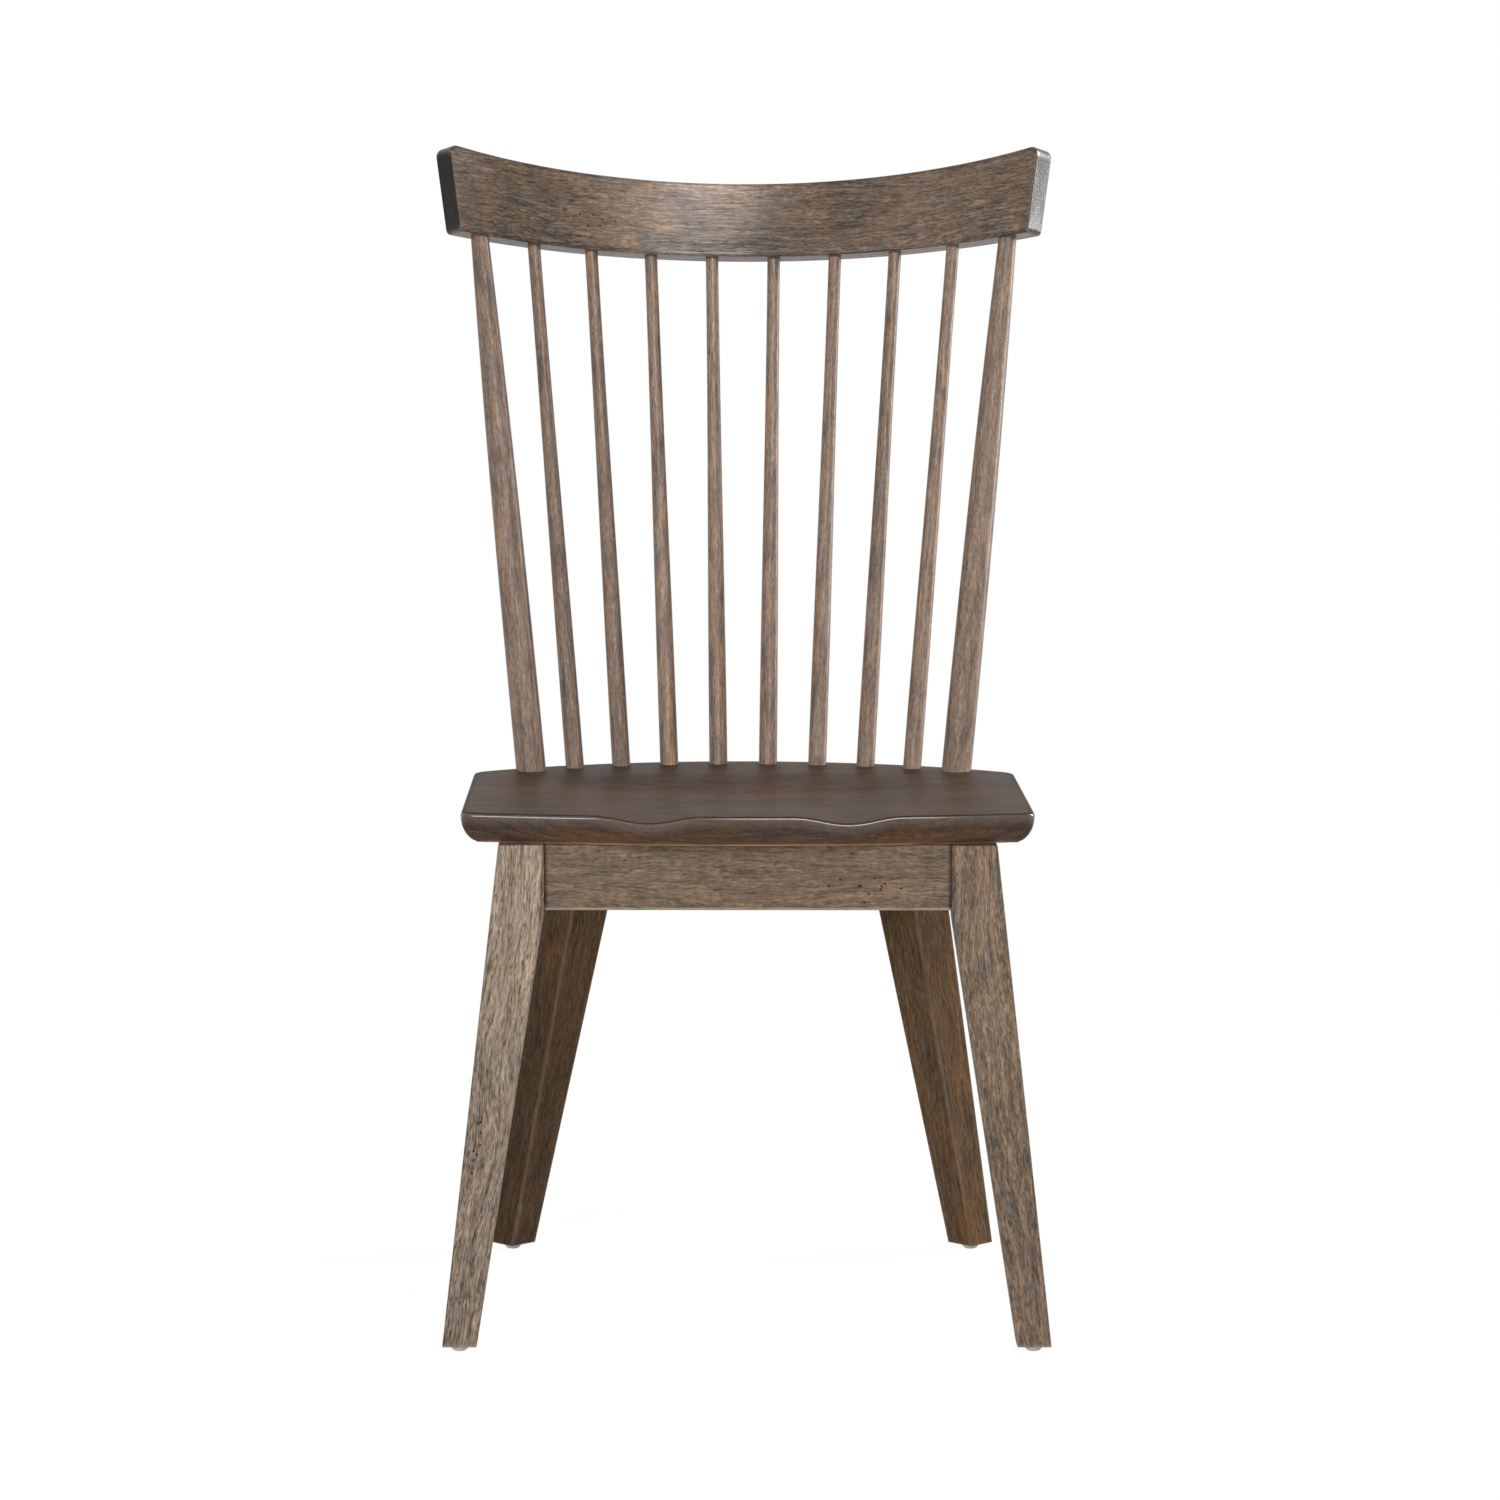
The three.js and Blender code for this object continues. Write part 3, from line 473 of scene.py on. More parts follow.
def plan_of(node):
    """The outline in plan of a node that fills its own outline, anticlockwise, without the
    points that lie on a straight stretch of it."""
    plan = np.unique(points_of(node)[:, :2], axis=0)
    ring = plan[convex_hull_2d(plan.tolist())]
    back, ahead = unit(ring - np.roll(ring, 1, axis=0)), unit(np.roll(ring, -1, axis=0) - ring)
    turn = back[:, 0] * ahead[:, 1] - back[:, 1] * ahead[:, 0]
    least_turn = 0.02  # the sine of the smallest turn that makes a corner
    ring = ring[np.abs(turn) > least_turn]
    following = np.roll(ring, -1, axis=0)
    area = np.sum(ring[:, 0] * following[:, 1] - ring[:, 1] * following[:, 0])
    return ring if area > 0 else ring[::-1]


def rounded_rings(corners, radius, inset, arc_steps, fade, side_steps=2):
    """Rings round convex outlines with rounded corners, one outline a station.

    Each corner's arc has its middle where the two sides, moved inwards by the radius, cross.
    The inset draws the whole ring inwards and shortens the arc's radius by as much. Between
    two arcs the side has points at the fade's distance from both and evenly between these.
    Returns the rings (stations, around, 2) and 1 on the arcs and 0 between them (around)."""
    side = unit(np.roll(corners, -1, axis=1) - corners)
    outward = np.stack([side[..., 1], -side[..., 0]], axis=-1)
    before = np.roll(outward, 1, axis=1)
    together = np.sum(before * outward, axis=-1)
    middle = corners - radius * (before + outward) / (1 + together)[..., None]
    start = np.arctan2(before[..., 1], before[..., 0])
    turn = np.arctan2(before[..., 0] * outward[..., 1] - before[..., 1] * outward[..., 0], together)
    angle = start[..., None] + turn[..., None] * np.linspace(0, 1, arc_steps + 1)
    reach = (radius - np.asarray(inset))[:, None, None, None]
    arcs = middle[:, :, None] + reach * round_points(angle)
    leave = arcs[:, :, -1]
    span = np.roll(arcs[:, :, 0], -1, axis=1) - leave
    most = 0.4  # of a side, for the fade at each end
    margin = np.minimum(fade / np.linalg.norm(span, axis=-1), most)[..., None]
    share = margin + (1 - 2 * margin) * np.linspace(0, 1, side_steps)
    sides = leave[:, :, None] + share[..., None] * span[:, :, None]
    rings = np.concatenate([arcs, sides], axis=2)
    count = corners.shape[1]
    worn = np.tile(np.concatenate([np.ones(arc_steps + 1), np.zeros(side_steps)]), count)
    return rings.reshape(len(corners), -1, 2), worn


def eased_run(low, high, middle, radius, steps, fade):
    """Places along a piece whose ends are eased by quarter circles, with how far each
    section is drawn in there, how worn it is, 1 on the quarter circles, and how far it belongs
    to the end face: the square of the cosine of the turn."""
    turn = np.linspace(0, QUARTER, steps + 1)
    past, inset = radius * (1 - np.cos(turn)), radius * (1 - np.sin(turn))
    inner = np.concatenate([[low + radius + fade], middle, [high - radius - fade]])
    places = np.concatenate([low + past, inner, high - past[::-1]])
    insets = np.concatenate([inset, np.zeros(len(inner)), inset[::-1]])
    worn = np.concatenate([np.ones(len(turn)), np.zeros(len(inner)), np.ones(len(turn))])
    end = np.concatenate([np.cos(turn) ** 2, np.zeros(len(inner)), np.cos(turn[::-1]) ** 2])
    return places, insets, worn, end


def close_ends(rings, grain, marks, share=0.86):
    """The arrays with one more ring inside each end, drawn towards the end's middle, neither
    worn nor polished there, and as dark as the end."""

    def drawn(ring):
        middle = ring.mean(axis=1, keepdims=True)
        return middle + share * (ring - middle)

    closed = {}
    for mark, values in marks.items():
        kept = 1.0 if mark == "shade" else 0.0
        closed[mark] = np.concatenate([values[:1] * kept, values, values[-1:] * kept])
    return drawn_in(rings, drawn), drawn_in(grain, drawn), closed


def drawn_in(values, drawn):
    """The values with one more ring at each end."""
    return np.concatenate([drawn(values[:1]), values, drawn(values[-1:])])


def skin(name, rings, grain, marks, wood_slot, node, material, weighted=True):
    """A closed piece that stands for a CAD node.

    The skin joins neighbouring rings by four-sided faces and closes each end round the
    middle of its ring. The rings (stations, around, 3) run anticlockwise about the way from
    the first to the last. The grain holds each point's place in the board that the piece was
    cut from, along, across and through it. The marks are numbers for each point: worn is 1 on
    rubbed edges, polish is 1 where hands have polished the finish, and shade says how much
    darker the wood is than its finish."""
    stations, around = rings.shape[:2]

    def with_ends(values):
        flat_values = values.reshape(stations * around, -1)
        ends = [values[0].mean(axis=0).reshape(1, -1), values[-1].mean(axis=0).reshape(1, -1)]
        return np.concatenate([flat_values, *ends])

    here = np.arange(around)
    following = (here + 1) % around
    low = np.arange(stations - 1)[:, None] * around
    sides = np.stack([low + here, low + following, low + around + following, low + around + here], axis=-1)
    first, last, top = stations * around, stations * around + 1, (stations - 1) * around
    lower_cap = np.stack([np.full(around, first), following, here], axis=-1)
    upper_cap = np.stack([np.full(around, last), top + here, top + following], axis=-1)
    mesh = bpy.data.meshes.new(name)
    faces = sides.reshape(-1, 4).tolist() + lower_cap.tolist() + upper_cap.tolist()
    mesh.from_pydata(with_ends(rings).tolist(), [], faces)
    shift = np.random.default_rng([SEED, sum(map(ord, name))]).uniform(0, STOCK, 3)
    for mark, places in (("grain", with_ends(grain) + shift), ("place", with_ends(grain))):
        mesh.attributes.new(mark, "FLOAT_VECTOR", "POINT").data.foreach_set("vector", places.ravel())
    for mark, values in marks.items():
        mesh.attributes.new(mark, "FLOAT", "POINT").data.foreach_set("value", with_ends(values).ravel())
    mesh.polygons.foreach_set("use_smooth", np.ones(len(mesh.polygons), dtype=bool))
    mesh.materials.append(material)
    piece = bpy.data.objects.new(name, mesh)
    bpy.context.scene.collection.objects.link(piece)
    if weighted:
        modifier = piece.modifiers.new("Even normals", "WEIGHTED_NORMAL")
        modifier.mode = "FACE_AREA"
    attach(piece, BODY)
    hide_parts(node)
    return piece


def mirrored(rings, grain, marks, sign):
    """The arrays for the chair's other side, with each ring turned round when the sign is
    negative, so that it still runs anticlockwise."""
    if sign > 0:
        return rings, grain, marks
    turned = {mark: values[:, ::-1] for mark, values in marks.items()}
    return (rings * [-1, 1, 1])[:, ::-1], grain[:, ::-1], turned


def board_shade(node, share):
    """How much darker than its finish a piece is, from its foot or left end to the other."""
    low, high = SHADES.get(node, (0.0, 0.0))
    return low + (high - low) * share


def spot_shade(node, grain):
    """How much darker a piece is at its soft spots: each is a bell over an ellipse, whose
    exponent is minus the squared distances along and across, over the spot's reaches."""
    total = np.zeros(grain.shape[:-1])
    for along, across, reach, width, lean, change in SPOTS.get(node, ()):
        past, beside = grain[..., 0] - along, grain[..., 1] - across
        beside = beside - lean * past
        total += change * np.exp(-((past / reach) ** 2) - (beside / width) ** 2)
    return total


# Seat


def seat_outline(sizes, insets):
    """Rings in plan round the seat, one for each inset, and how a ring divides.

    Four corner arcs, each about its own middle, joined by two straight sides and by an arc
    in front and one at the back about middles on the chair's centre line. An inset shortens
    each corner's radius; past most of that radius it moves the corner's middle inwards along
    the mitre of its two sides instead."""
    low, high = corners_of("seat")
    half, front, back = high[0], low[1], high[1]
    front_radius = (half**2 + sizes.front_bow**2) / (2 * sizes.front_bow)
    front_middle, back_middle = front + front_radius, back - sizes.back_radius
    back_x, front_x = half - sizes.back_corner, half - sizes.front_corner
    back_y = back_middle + math.sqrt((sizes.back_radius - sizes.back_corner) ** 2 - back_x**2)
    front_y = front_middle - math.sqrt((front_radius - sizes.front_corner) ** 2 - front_x**2)
    back_turn = math.atan2(back_y - back_middle, back_x)
    front_turn = math.atan2(front_middle - front_y, front_x)
    insets = np.asarray(insets)[:, None]
    most_kept = 0.85  # of a corner's radius, before its middle moves
    back_arc, front_arc, back_run, front_run, side_run = 16, 14, 90, 130, 50  # steps

    def corner(x, y, radius, start, end, steps):
        kept = np.minimum(insets, most_kept * radius)
        ends = round_points(np.array([start, end]))
        mitre = ends.sum(axis=0) / (1 + ends[0] @ ends[1])
        points = (radius - kept)[..., None] * round_points(np.linspace(start, end, steps))
        return points + np.array([x, y]) - (insets - kept)[..., None] * mitre

    def bow(middle_y, start, end, steps):
        share = np.linspace(0, 1, steps + 2)[1:-1]
        from_middle, to_middle = start - [0, middle_y], end - [0, middle_y]
        first = np.arctan2(from_middle[:, 1], from_middle[:, 0])[:, None]
        last = np.arctan2(to_middle[:, 1], to_middle[:, 0])[:, None]
        angle = first + (last - first) * share
        radius = np.linalg.norm(from_middle, axis=-1)[:, None, None]
        return radius * round_points(angle) + [0, middle_y]

    def straight(start, end, steps):
        share = np.linspace(0, 1, steps + 2)[1:-1, None]
        return start[:, None] + (end - start)[:, None] * share

    right_back = corner(back_x, back_y, sizes.back_corner, 0, back_turn, back_arc)
    left_back = corner(-back_x, back_y, sizes.back_corner, math.pi - back_turn, math.pi, back_arc)
    left_front = corner(-front_x, front_y, sizes.front_corner, math.pi, math.pi + front_turn, front_arc)
    right_front = corner(front_x, front_y, sizes.front_corner, -front_turn, 0, front_arc)
    return np.concatenate(
        [
            right_back,
            bow(back_middle, right_back[:, -1], left_back[:, 0], back_run),
            left_back,
            straight(left_back[:, -1], left_front[:, 0], side_run),
            left_front,
            bow(front_middle, left_front[:, -1], right_front[:, 0], front_run),
            right_front,
            straight(right_front[:, -1], right_back[:, 0], side_run),
        ],
        axis=1,
    )


def seat_top(sizes, x, y):
    """The height of the seat's top: a slow even fall to the back, less two squared-cosine
    hollows at the front edge, which fade with smooth steps into one broad dish that rises
    again to the flat deck at the back."""
    low, high = corners_of("seat")
    back = y - low[1]
    aside = np.minimum(1, np.abs(np.abs(x) - sizes.hollow_offset) / sizes.hollow_half_width)
    hollow = np.cos(QUARTER * aside) ** 2
    dish = smoothstep(sizes.dish_half_width - np.abs(x), 0, sizes.dish_half_width - sizes.hollow_offset)
    run = smoothstep(back, 0, sizes.dish_run_in)
    rise = smoothstep(back, sizes.deck_start, sizes.deck_full)
    depth = (1 - run) * sizes.hollow_depth * hollow + run * sizes.dish_depth * dish
    return high[2] - sizes.back_fall * back / (high[1] - low[1]) - depth * (1 - rise)


def seat_rings(sizes):
    """The seat's skin from the middle of its flat underside out to the upright lip, up along a
    quarter of an ellipse that the lip cuts off, to the widest line, over the top edge, a quarter
    of a circle, and in over the top to its middle. Each ring is the plan outline moved inwards,
    or, on the top and the underside, drawn towards the middle."""
    lower_steps, edge_steps = 26, 15
    # How far out the rings on the underside and the top lie, closer together near the rim
    under_shares = np.array([0.5, 0.97, 0.992])
    top_shares = np.concatenate([np.linspace(0.995, 0.9, 12), np.linspace(0.88, 0.05, 34)])
    bottom = corners_of("seat")[0][2]
    outline = seat_outline(sizes, [0.0])[0]
    rim = seat_top(sizes, outline[:, 0], outline[:, 1])
    widest = rim - sizes.top_edge
    start = math.asin(1 - sizes.lip / (widest.mean() - bottom))
    turn = np.linspace(start, 0, lower_steps)
    lower = sizes.lower_inset * (1 - np.cos(turn))
    ease = sizes.lip / 4
    lip = np.array([lower[0] + ease, lower[0], lower[0]])
    lip_rise = np.array([0, ease, sizes.lip / 2])
    edge_turn = np.linspace(0, QUARTER, edge_steps)[1:]
    upper = sizes.top_edge * (1 - np.cos(edge_turn))
    plan = seat_outline(sizes, np.concatenate([lip, lower, upper]))
    lip_z = bottom + np.broadcast_to(lip_rise[:, None], (len(lip), plan.shape[1]))
    lower_z = bottom + (widest - bottom) * (1 - np.sin(turn))[:, None]
    upper_plan = plan[-len(upper) :]
    lift = seat_top(sizes, upper_plan[..., 0], upper_plan[..., 1]) - rim
    upper_z = widest + (sizes.top_edge + lift) * np.sin(edge_turn)[:, None]
    middle = np.array([0.0, plan[-1, :, 1].mean()])
    top_plan = middle + top_shares[:, None, None] * (plan[-1] - middle)
    top_z = seat_top(sizes, top_plan[..., 0], top_plan[..., 1])
    under_plan = middle + under_shares[:, None, None] * (plan[0] - middle)
    under_z = np.full(under_plan.shape[:2], bottom)
    places = np.concatenate([under_plan, plan, top_plan])
    heights = np.concatenate([under_z, lip_z, lower_z, upper_z, top_z])
    rings = np.concatenate([places, heights[..., None]], axis=-1)
    starts = np.cumsum([len(part) for part in (under_z, lip_z, lower_z, upper_z)])
    marks = seat_marks(sizes, rings, starts, lower_z - bottom, widest - lower_z, edge_turn)
    return rings, marks


def seat_marks(sizes, rings, starts, above, below, edge_turn):
    """How worn, how polished and how dark each point of the seat is.

    Starts holds the first rings of the lip, the lower edge, the top edge and the top. Above
    and below say how far the lower edge's points are over the underside and under the widest
    line, and the edge turn is the top edge's."""
    first_lip, first_lower, first_upper, first_top = starts
    worn, polish, shade = np.zeros((3, *rings.shape[:2]))

    # The lip is rubbed through, and a little of what is above it, but less near the sides. The light rubbed
    # colour and the glow above it are partly real wear and partly painted light, as if bounced up from the
    # floor.
    glow_strength, glow_fade, soft = 0.32, 1.6, 0.4
    sides_worn, sides_from = 0.25, 0.4
    over = above - sizes.lip
    glow = glow_strength * np.clip(1 - (over - sizes.rubbed) / sizes.glow, 0, 1) ** glow_fade
    through = 1 - smoothstep(over, (1 - soft) * sizes.rubbed, (1 + soft) * sizes.rubbed)
    worn[first_lip:first_lower] = 1
    worn[first_lower:first_upper] = np.maximum(glow, through)
    widest_ring = np.abs(rings[first_upper - 1, :, 0])
    inside = smoothstep(widest_ring.max() - widest_ring, sides_from * sizes.rubbed_end, sizes.rubbed_end)
    worn *= sides_worn + (1 - sides_worn) * inside

    # The upper edge is polished over its lower half, and less and less down the next stretch.
    polished_until, polish_gone = 0.65, 0.85
    drop = below / sizes.polish_drop
    polish[first_lower:first_upper] = np.clip(1 - drop, 0, 1)
    polish[first_upper:first_top] = smoothstep(-edge_turn, -polish_gone, -polished_until)[:, None]

    # The top edge's upper half and the top's outer ring are darkened, a painted dark reflection, and the
    # lower half of the edge is lightened, painted light from below.
    light_from, light_full = 0.6, 2.0
    dark_from, dark_full, edge_painted_shade, rim_painted_shade = 0.75, 1.0, 0.45, 0.3
    shade[first_lower:first_upper] = -sizes.painted_lower_light * smoothstep(drop, light_from, light_full)
    shade[first_upper:first_top] = edge_painted_shade * smoothstep(edge_turn, dark_from, dark_full)[:, None]
    shade[first_top] = rim_painted_shade
    return {"worn": worn, "polish": polish, "shade": shade}


# Crest rail


def crest_axes(sizes):
    """The middle of the crest rail's underside, and the ways towards the sitter and up."""
    toward = np.array([0, -math.cos(sizes.lean), math.sin(sizes.lean)])
    upward = np.array([0, math.sin(sizes.lean), math.cos(sizes.lean)])
    tops = []
    for name in ("spindle_4", "spindle_5"):
        low, high = axis_of(name)
        tops.append(high - sizes.crest_socket * unit(high - low))
    between = (tops[0] + tops[1]) / 2
    sag = sizes.bend_radius - math.sqrt(sizes.bend_radius**2 - tops[1][0] ** 2)
    return between - sag * toward, toward, upward


def corner_loss(radius, distance):
    """How far a rounded corner falls short of the square one, at a distance from the end."""
    within = np.clip(distance, 0, radius)
    return radius - np.sqrt(radius**2 - (radius - within) ** 2)


def crest_rings(sizes, arc_steps):
    """The crest rail's skin: a rounded rectangle carried along a circle in the leaning plane.

    At a place along the bend the section's height grows with the square of the place's share
    of the half length, less a quarter circle at each upper corner. A point's turn round the
    bend is its place over the radius, plus the overhang times that share and its height."""
    run_steps, corner_steps = 90, 11
    face_steps, face_fade = 9, 0.0015
    half = sizes.crest_bottom / 2
    run = np.linspace(-half + sizes.crest_corner, half - sizes.crest_corner, run_steps)
    bend = sizes.crest_corner * (1 - np.cos(np.linspace(0, QUARTER, corner_steps)[1:-1]))
    bend = bend[bend > sizes.crest_end_edge]
    middle = np.concatenate([-half + bend, run, half - bend[::-1]])
    places, insets, worn_run, end = eased_run(-half, half, middle, sizes.crest_end_edge, arc_steps, 0.0)
    share = places / half
    to_end = half - np.abs(places)
    height = sizes.crest_middle + (sizes.crest_end - sizes.crest_middle) * share**2
    top = height - corner_loss(sizes.crest_corner, to_end)
    low = corner_loss(sizes.crest_lower_corner, to_end)
    deep = np.full(len(places), sizes.crest_thickness / 2)
    corners = ((-deep, low), (deep, low), (deep, top), (-deep, top))
    corners = np.stack([np.stack(corner, axis=-1) for corner in corners], axis=1)
    section, worn_round = rounded_rings(corners, sizes.crest_edge, insets, arc_steps, face_fade, face_steps)
    behind, up = section[..., 0], section[..., 1]
    along = places[:, None] + sizes.crest_overhang * share[:, None] * up / sizes.crest_end
    base, toward, upward = crest_axes(sizes)
    radius = (sizes.bend_radius + behind)[..., None]
    turn = (along / sizes.bend_radius)[..., None]
    across = np.array([1.0, 0, 0])
    rings = base + radius * np.sin(turn) * across + (sizes.bend_radius - radius * np.cos(turn)) * toward
    rings = rings + up[..., None] * upward
    grain = np.stack([along, up, behind], axis=-1)
    marks = crest_marks(sizes, grain, up - low[:, None], worn_run[:, None], worn_round, end[:, None])
    rings, grain, marks = close_ends(rings, grain, marks, END_RING)
    marks["polish"][-1] = sizes.end_polish
    return rings, grain, marks


def crest_marks(sizes, grain, above, worn_run, worn_round, end):
    """How worn, how polished and how dark each point of the crest rail is.

    The end grain takes more stain. The long edges are darker away from the held place, painted shade,
    and the underside is lighter, painted light from below. The long edges are polished near the
    middle instead, the end edges in front, and the right end a little."""
    least_held, front_from, front_full = 0.2, 0.2, 0.45
    along, behind = grain[..., 0], grain[..., 2]
    held = least_held + (1 - least_held) * np.exp(-(((along - sizes.held_place) / sizes.held_reach) ** 2))
    # End grain takes more stain; the long edges get painted shade away from the held place.
    dark = np.maximum(sizes.end_shade * end, sizes.painted_edge_shade * worn_round * (1 - held))
    in_front = smoothstep(-behind / sizes.crest_thickness, front_from, front_full)
    polish = np.maximum(worn_run * in_front, worn_round * held)
    polish = np.maximum(polish, np.where(along > 0, sizes.end_polish * end, 0))
    # The underside is lightened: painted light from below.
    bare = sizes.painted_under_light * smoothstep(above, sizes.crest_edge, 0)
    shade = dark + (1 - dark) * spot_shade("crest_rail", grain) - bare
    return {"worn": np.maximum(worn_run, worn_round), "polish": polish, "shade": shade}


# Posts and spindles


def taper(sizes, is_post, share):
    """An upright's radius at a share of its height: a post narrows with a power of the share,
    a spindle by a smooth step that ends just under the rail."""
    post_power, spindle_end = 2.3, 0.95
    if is_post:
        foot, top, done = sizes.post_foot, sizes.post_top, share**post_power
    else:
        foot, top, done = sizes.spindle_foot, sizes.spindle_top, smoothstep(share, 0, spindle_end)
    return (foot + (top - foot) * done) / 2


def upright_rings(sizes, node, is_post):
    """An upright's skin: circles square to its middle line, whose radius is the taper's
    between the seat and the rail and stays as it is in the two sockets."""
    steps, around = 48, 40 if is_post else 32
    ease, parallel = 0.001, 1e-6
    low, high = axis_of(node)
    direction = unit(high - low)
    tall = np.linalg.norm(high - low)
    shown = np.linspace(sizes.seat_socket, tall - sizes.crest_socket, steps)
    along = np.concatenate([[0, ease], shown, [tall - ease, tall]])
    share = np.clip((along - sizes.seat_socket) / (tall - sizes.seat_socket - sizes.crest_socket), 0, 1)
    radius = taper(sizes, is_post, share)
    radius[[0, -1]] -= ease
    sideways = np.cross(UP, direction)
    sideways = unit(sideways) if np.linalg.norm(sideways) > parallel else np.array([1.0, 0, 0])
    forward = np.cross(direction, sideways)
    section = radius[:, None, None] * full_circle(around)
    rings = low + along[:, None, None] * direction
    rings = rings + section[..., :1] * sideways + section[..., 1:] * forward
    shade = np.broadcast_to(board_shade(node, share)[:, None], rings.shape[:2])
    return rings, board_place(along, section), {"shade": shade}


# Legs


def leg_skin(edge, outline, low, knee, high, arc_steps, lines=(), rubbed=1.0, joint=0.0):
    """A leg's skin: an outline in plan, given for any height, carried up from the foot.

    The outline function takes the share of the slant done from the foot to the top and the
    share left from the foot to the aprons' underside. The grain runs along the leg: its three
    values are the height and the place from the middle of the leg's outline there. Lines are
    more heights that need a ring. Rubbed says how far the long edges are, and joint how dark
    the first one is beside an apron."""
    shaft_steps, top_steps, end_edge = 40, 12, 0.001
    face_steps, face_fade = 3, 0.0022
    clear = 2.5 * edge  # no level lies nearer to an end
    shaft, top = np.linspace(low, knee, shaft_steps)[1:-1], np.linspace(knee, high, top_steps)[1:-1]
    levels = np.concatenate([shaft, lines, top])
    levels = np.unique(levels[(levels > low + clear) & (levels < high - clear)])
    z, insets, worn_run, end = eased_run(low, high, levels, min(edge, end_edge), arc_steps, edge)
    slant = (z - low) / (high - low)
    below = np.clip((knee - z) / (knee - low), 0, 1)
    corners = outline(z, slant, below)
    plan, worn_round = rounded_rings(corners, edge, insets, arc_steps, face_fade, face_steps)
    grain = board_place(z, plan - corners[:, :4].mean(axis=1)[:, None])
    # A foot's edges are rubbed, but not the edges under the seat.
    edges = np.maximum((worn_run * (slant < 0.5))[:, None], rubbed * worn_round)
    first = np.arange(len(worn_round)) <= arc_steps
    # End grain takes more stain, and the first edge beside an apron gets painted shade in the joint.
    shade = np.maximum(END_STAIN_AND_JOINT_SHADE * end[:, None], joint * (z > knee)[:, None] * first)
    return close_ends(lifted(plan, z), grain, {"worn": edges, "polish": edges, "shade": shade})


def front_leg_rings(sizes, knee, arc_steps):
    """The right front leg. Its outer and front faces slant straight from the foot to the top;
    its inner and back faces run upright beside the aprons and slant below them. A wide flat
    for the bolt on the inner corner behind fades out just below the aprons."""
    low, high = corners_of("front_leg_right")
    foot_left, foot_back = high[0] - sizes.foot_width, low[1] + sizes.foot_width
    top_right, top_front = low[0] + sizes.front_top_width, high[1] - sizes.front_top_depth

    def outline(z, slant, below):
        left = low[0] + (foot_left - low[0]) * below
        right = high[0] + (top_right - high[0]) * slant
        front = low[1] + (top_front - low[1]) * slant
        back = high[1] + (foot_back - high[1]) * below
        full, least = sizes.bolt_flat / math.sqrt(2), 0.0012
        flat = least + (full - least) * np.clip((z - knee) / sizes.bolt_fade + 1, 0, 1)
        places = [(left, front), (right, front), (right, back), (left + flat, back), (left, back - flat)]
        return np.stack([np.stack(place, axis=-1) for place in places], axis=1)

    # Joint is painted shade on the inner front edge beside the aprons.
    finish = {"lines": [knee - sizes.bolt_fade], "rubbed": 0.1, "joint": 0.3}
    return leg_skin(sizes.front_leg_edge, outline, low[2], knee, high[2], arc_steps, **finish)


def rear_leg_rings(sizes, knee, arc_steps):
    """The right rear leg, turned an eighth of a circle: its inner face runs upright beside
    the aprons and slants below them, its outer face slants straight from foot to top."""
    low, high = corners_of("rear_leg_right")
    glide_low, glide_high = corners_of("rear_glide_right")
    foot = ((glide_low + glide_high) / 2)[:2]
    out, across = unit(np.array([1.0, 1.0])), unit(np.array([1.0, -1.0]))

    def outline(z, slant, below):
        half = (sizes.rear_top_width + (sizes.foot_width - sizes.rear_top_width) * below) / 2
        inner = -sizes.rear_splay + (sizes.rear_splay - sizes.foot_width / 2) * below
        outer_top = sizes.rear_top_thickness - sizes.rear_splay
        outer = sizes.foot_width / 2 + (outer_top - sizes.foot_width / 2) * slant
        places = [(-half, inner), (half, inner), (half, outer), (-half, outer)]
        return np.stack([foot + a[:, None] * across + o[:, None] * out for a, o in places], axis=1)

    return leg_skin(sizes.rear_leg_edge, outline, low[2], knee, high[2], arc_steps)


# Aprons and blocks


def prism(node, edge, arc_steps, along, fade=0.002):
    """A board with its CAD node's outline in plan and eased edges all round. The grain runs
    along the given direction in plan, and its second value is the height."""
    level_steps, side_steps = 8, 12
    low, high = corners_of(node)
    plan = plan_of(node)
    levels = np.linspace(low[2], high[2], level_steps)[1:-1]
    z, insets, worn_run, _ = eased_run(low[2], high[2], levels, edge, arc_steps, fade)
    outlines = np.broadcast_to(plan, (len(z), *plan.shape))
    flat_rings, worn_round = rounded_rings(outlines, edge, insets, arc_steps, fade, side_steps)
    rings = lifted(flat_rings, z)
    beside = np.array([-along[1], along[0]])
    grain = np.stack([rings[..., :2] @ along, rings[..., 2], rings[..., :2] @ beside], axis=-1)
    # The lower edge is rubbed, and the edges in the joints at the board's ends get painted shade.
    worn = np.broadcast_to((worn_run * (z < (low[2] + high[2]) / 2))[:, None], rings.shape[:2])
    shade = END_STAIN_AND_JOINT_SHADE * worn_round + spot_shade(node, grain)
    return close_ends(rings, grain, {"worn": worn, "polish": worn, "shade": shade}, END_RING)


def long_side(node):
    """The direction in plan of the longest side of a node's outline."""
    plan = plan_of(node)
    sides = np.roll(plan, -1, axis=0) - plan
    return unit(sides[np.linalg.norm(sides, axis=1).argmax()])


# Glides


def glide_rings(sizes, node):
    """A turned dome: a flat underside, a quarter of an ellipse up to an upright rim, and a
    small quarter circle in to the flat top."""
    dome_steps, around, ease = 9, 40, 0.0004
    flat_ring, top_ring = 0.9, 0.002  # a share of the flat, and a radius
    low, high = corners_of(node)
    middle = (low + high) / 2
    radius, flat = (high[0] - low[0]) / 2, sizes.flat_diameter / 2
    tall = high[2] - low[2]
    turn = np.linspace(0, QUARTER, dome_steps)
    dome = flat + (radius - flat) * np.sin(turn)
    wide = np.concatenate([[flat_ring * flat], dome, [radius, radius - ease, top_ring]])
    z = np.concatenate([[0], (tall - sizes.rim_height) * (1 - np.cos(turn)), [tall - ease, tall, tall]])
    rings = lifted(middle[:2] + wide[:, None, None] * full_circle(around), low[2] + z)
    return rings, rings - middle, {}


# Materials

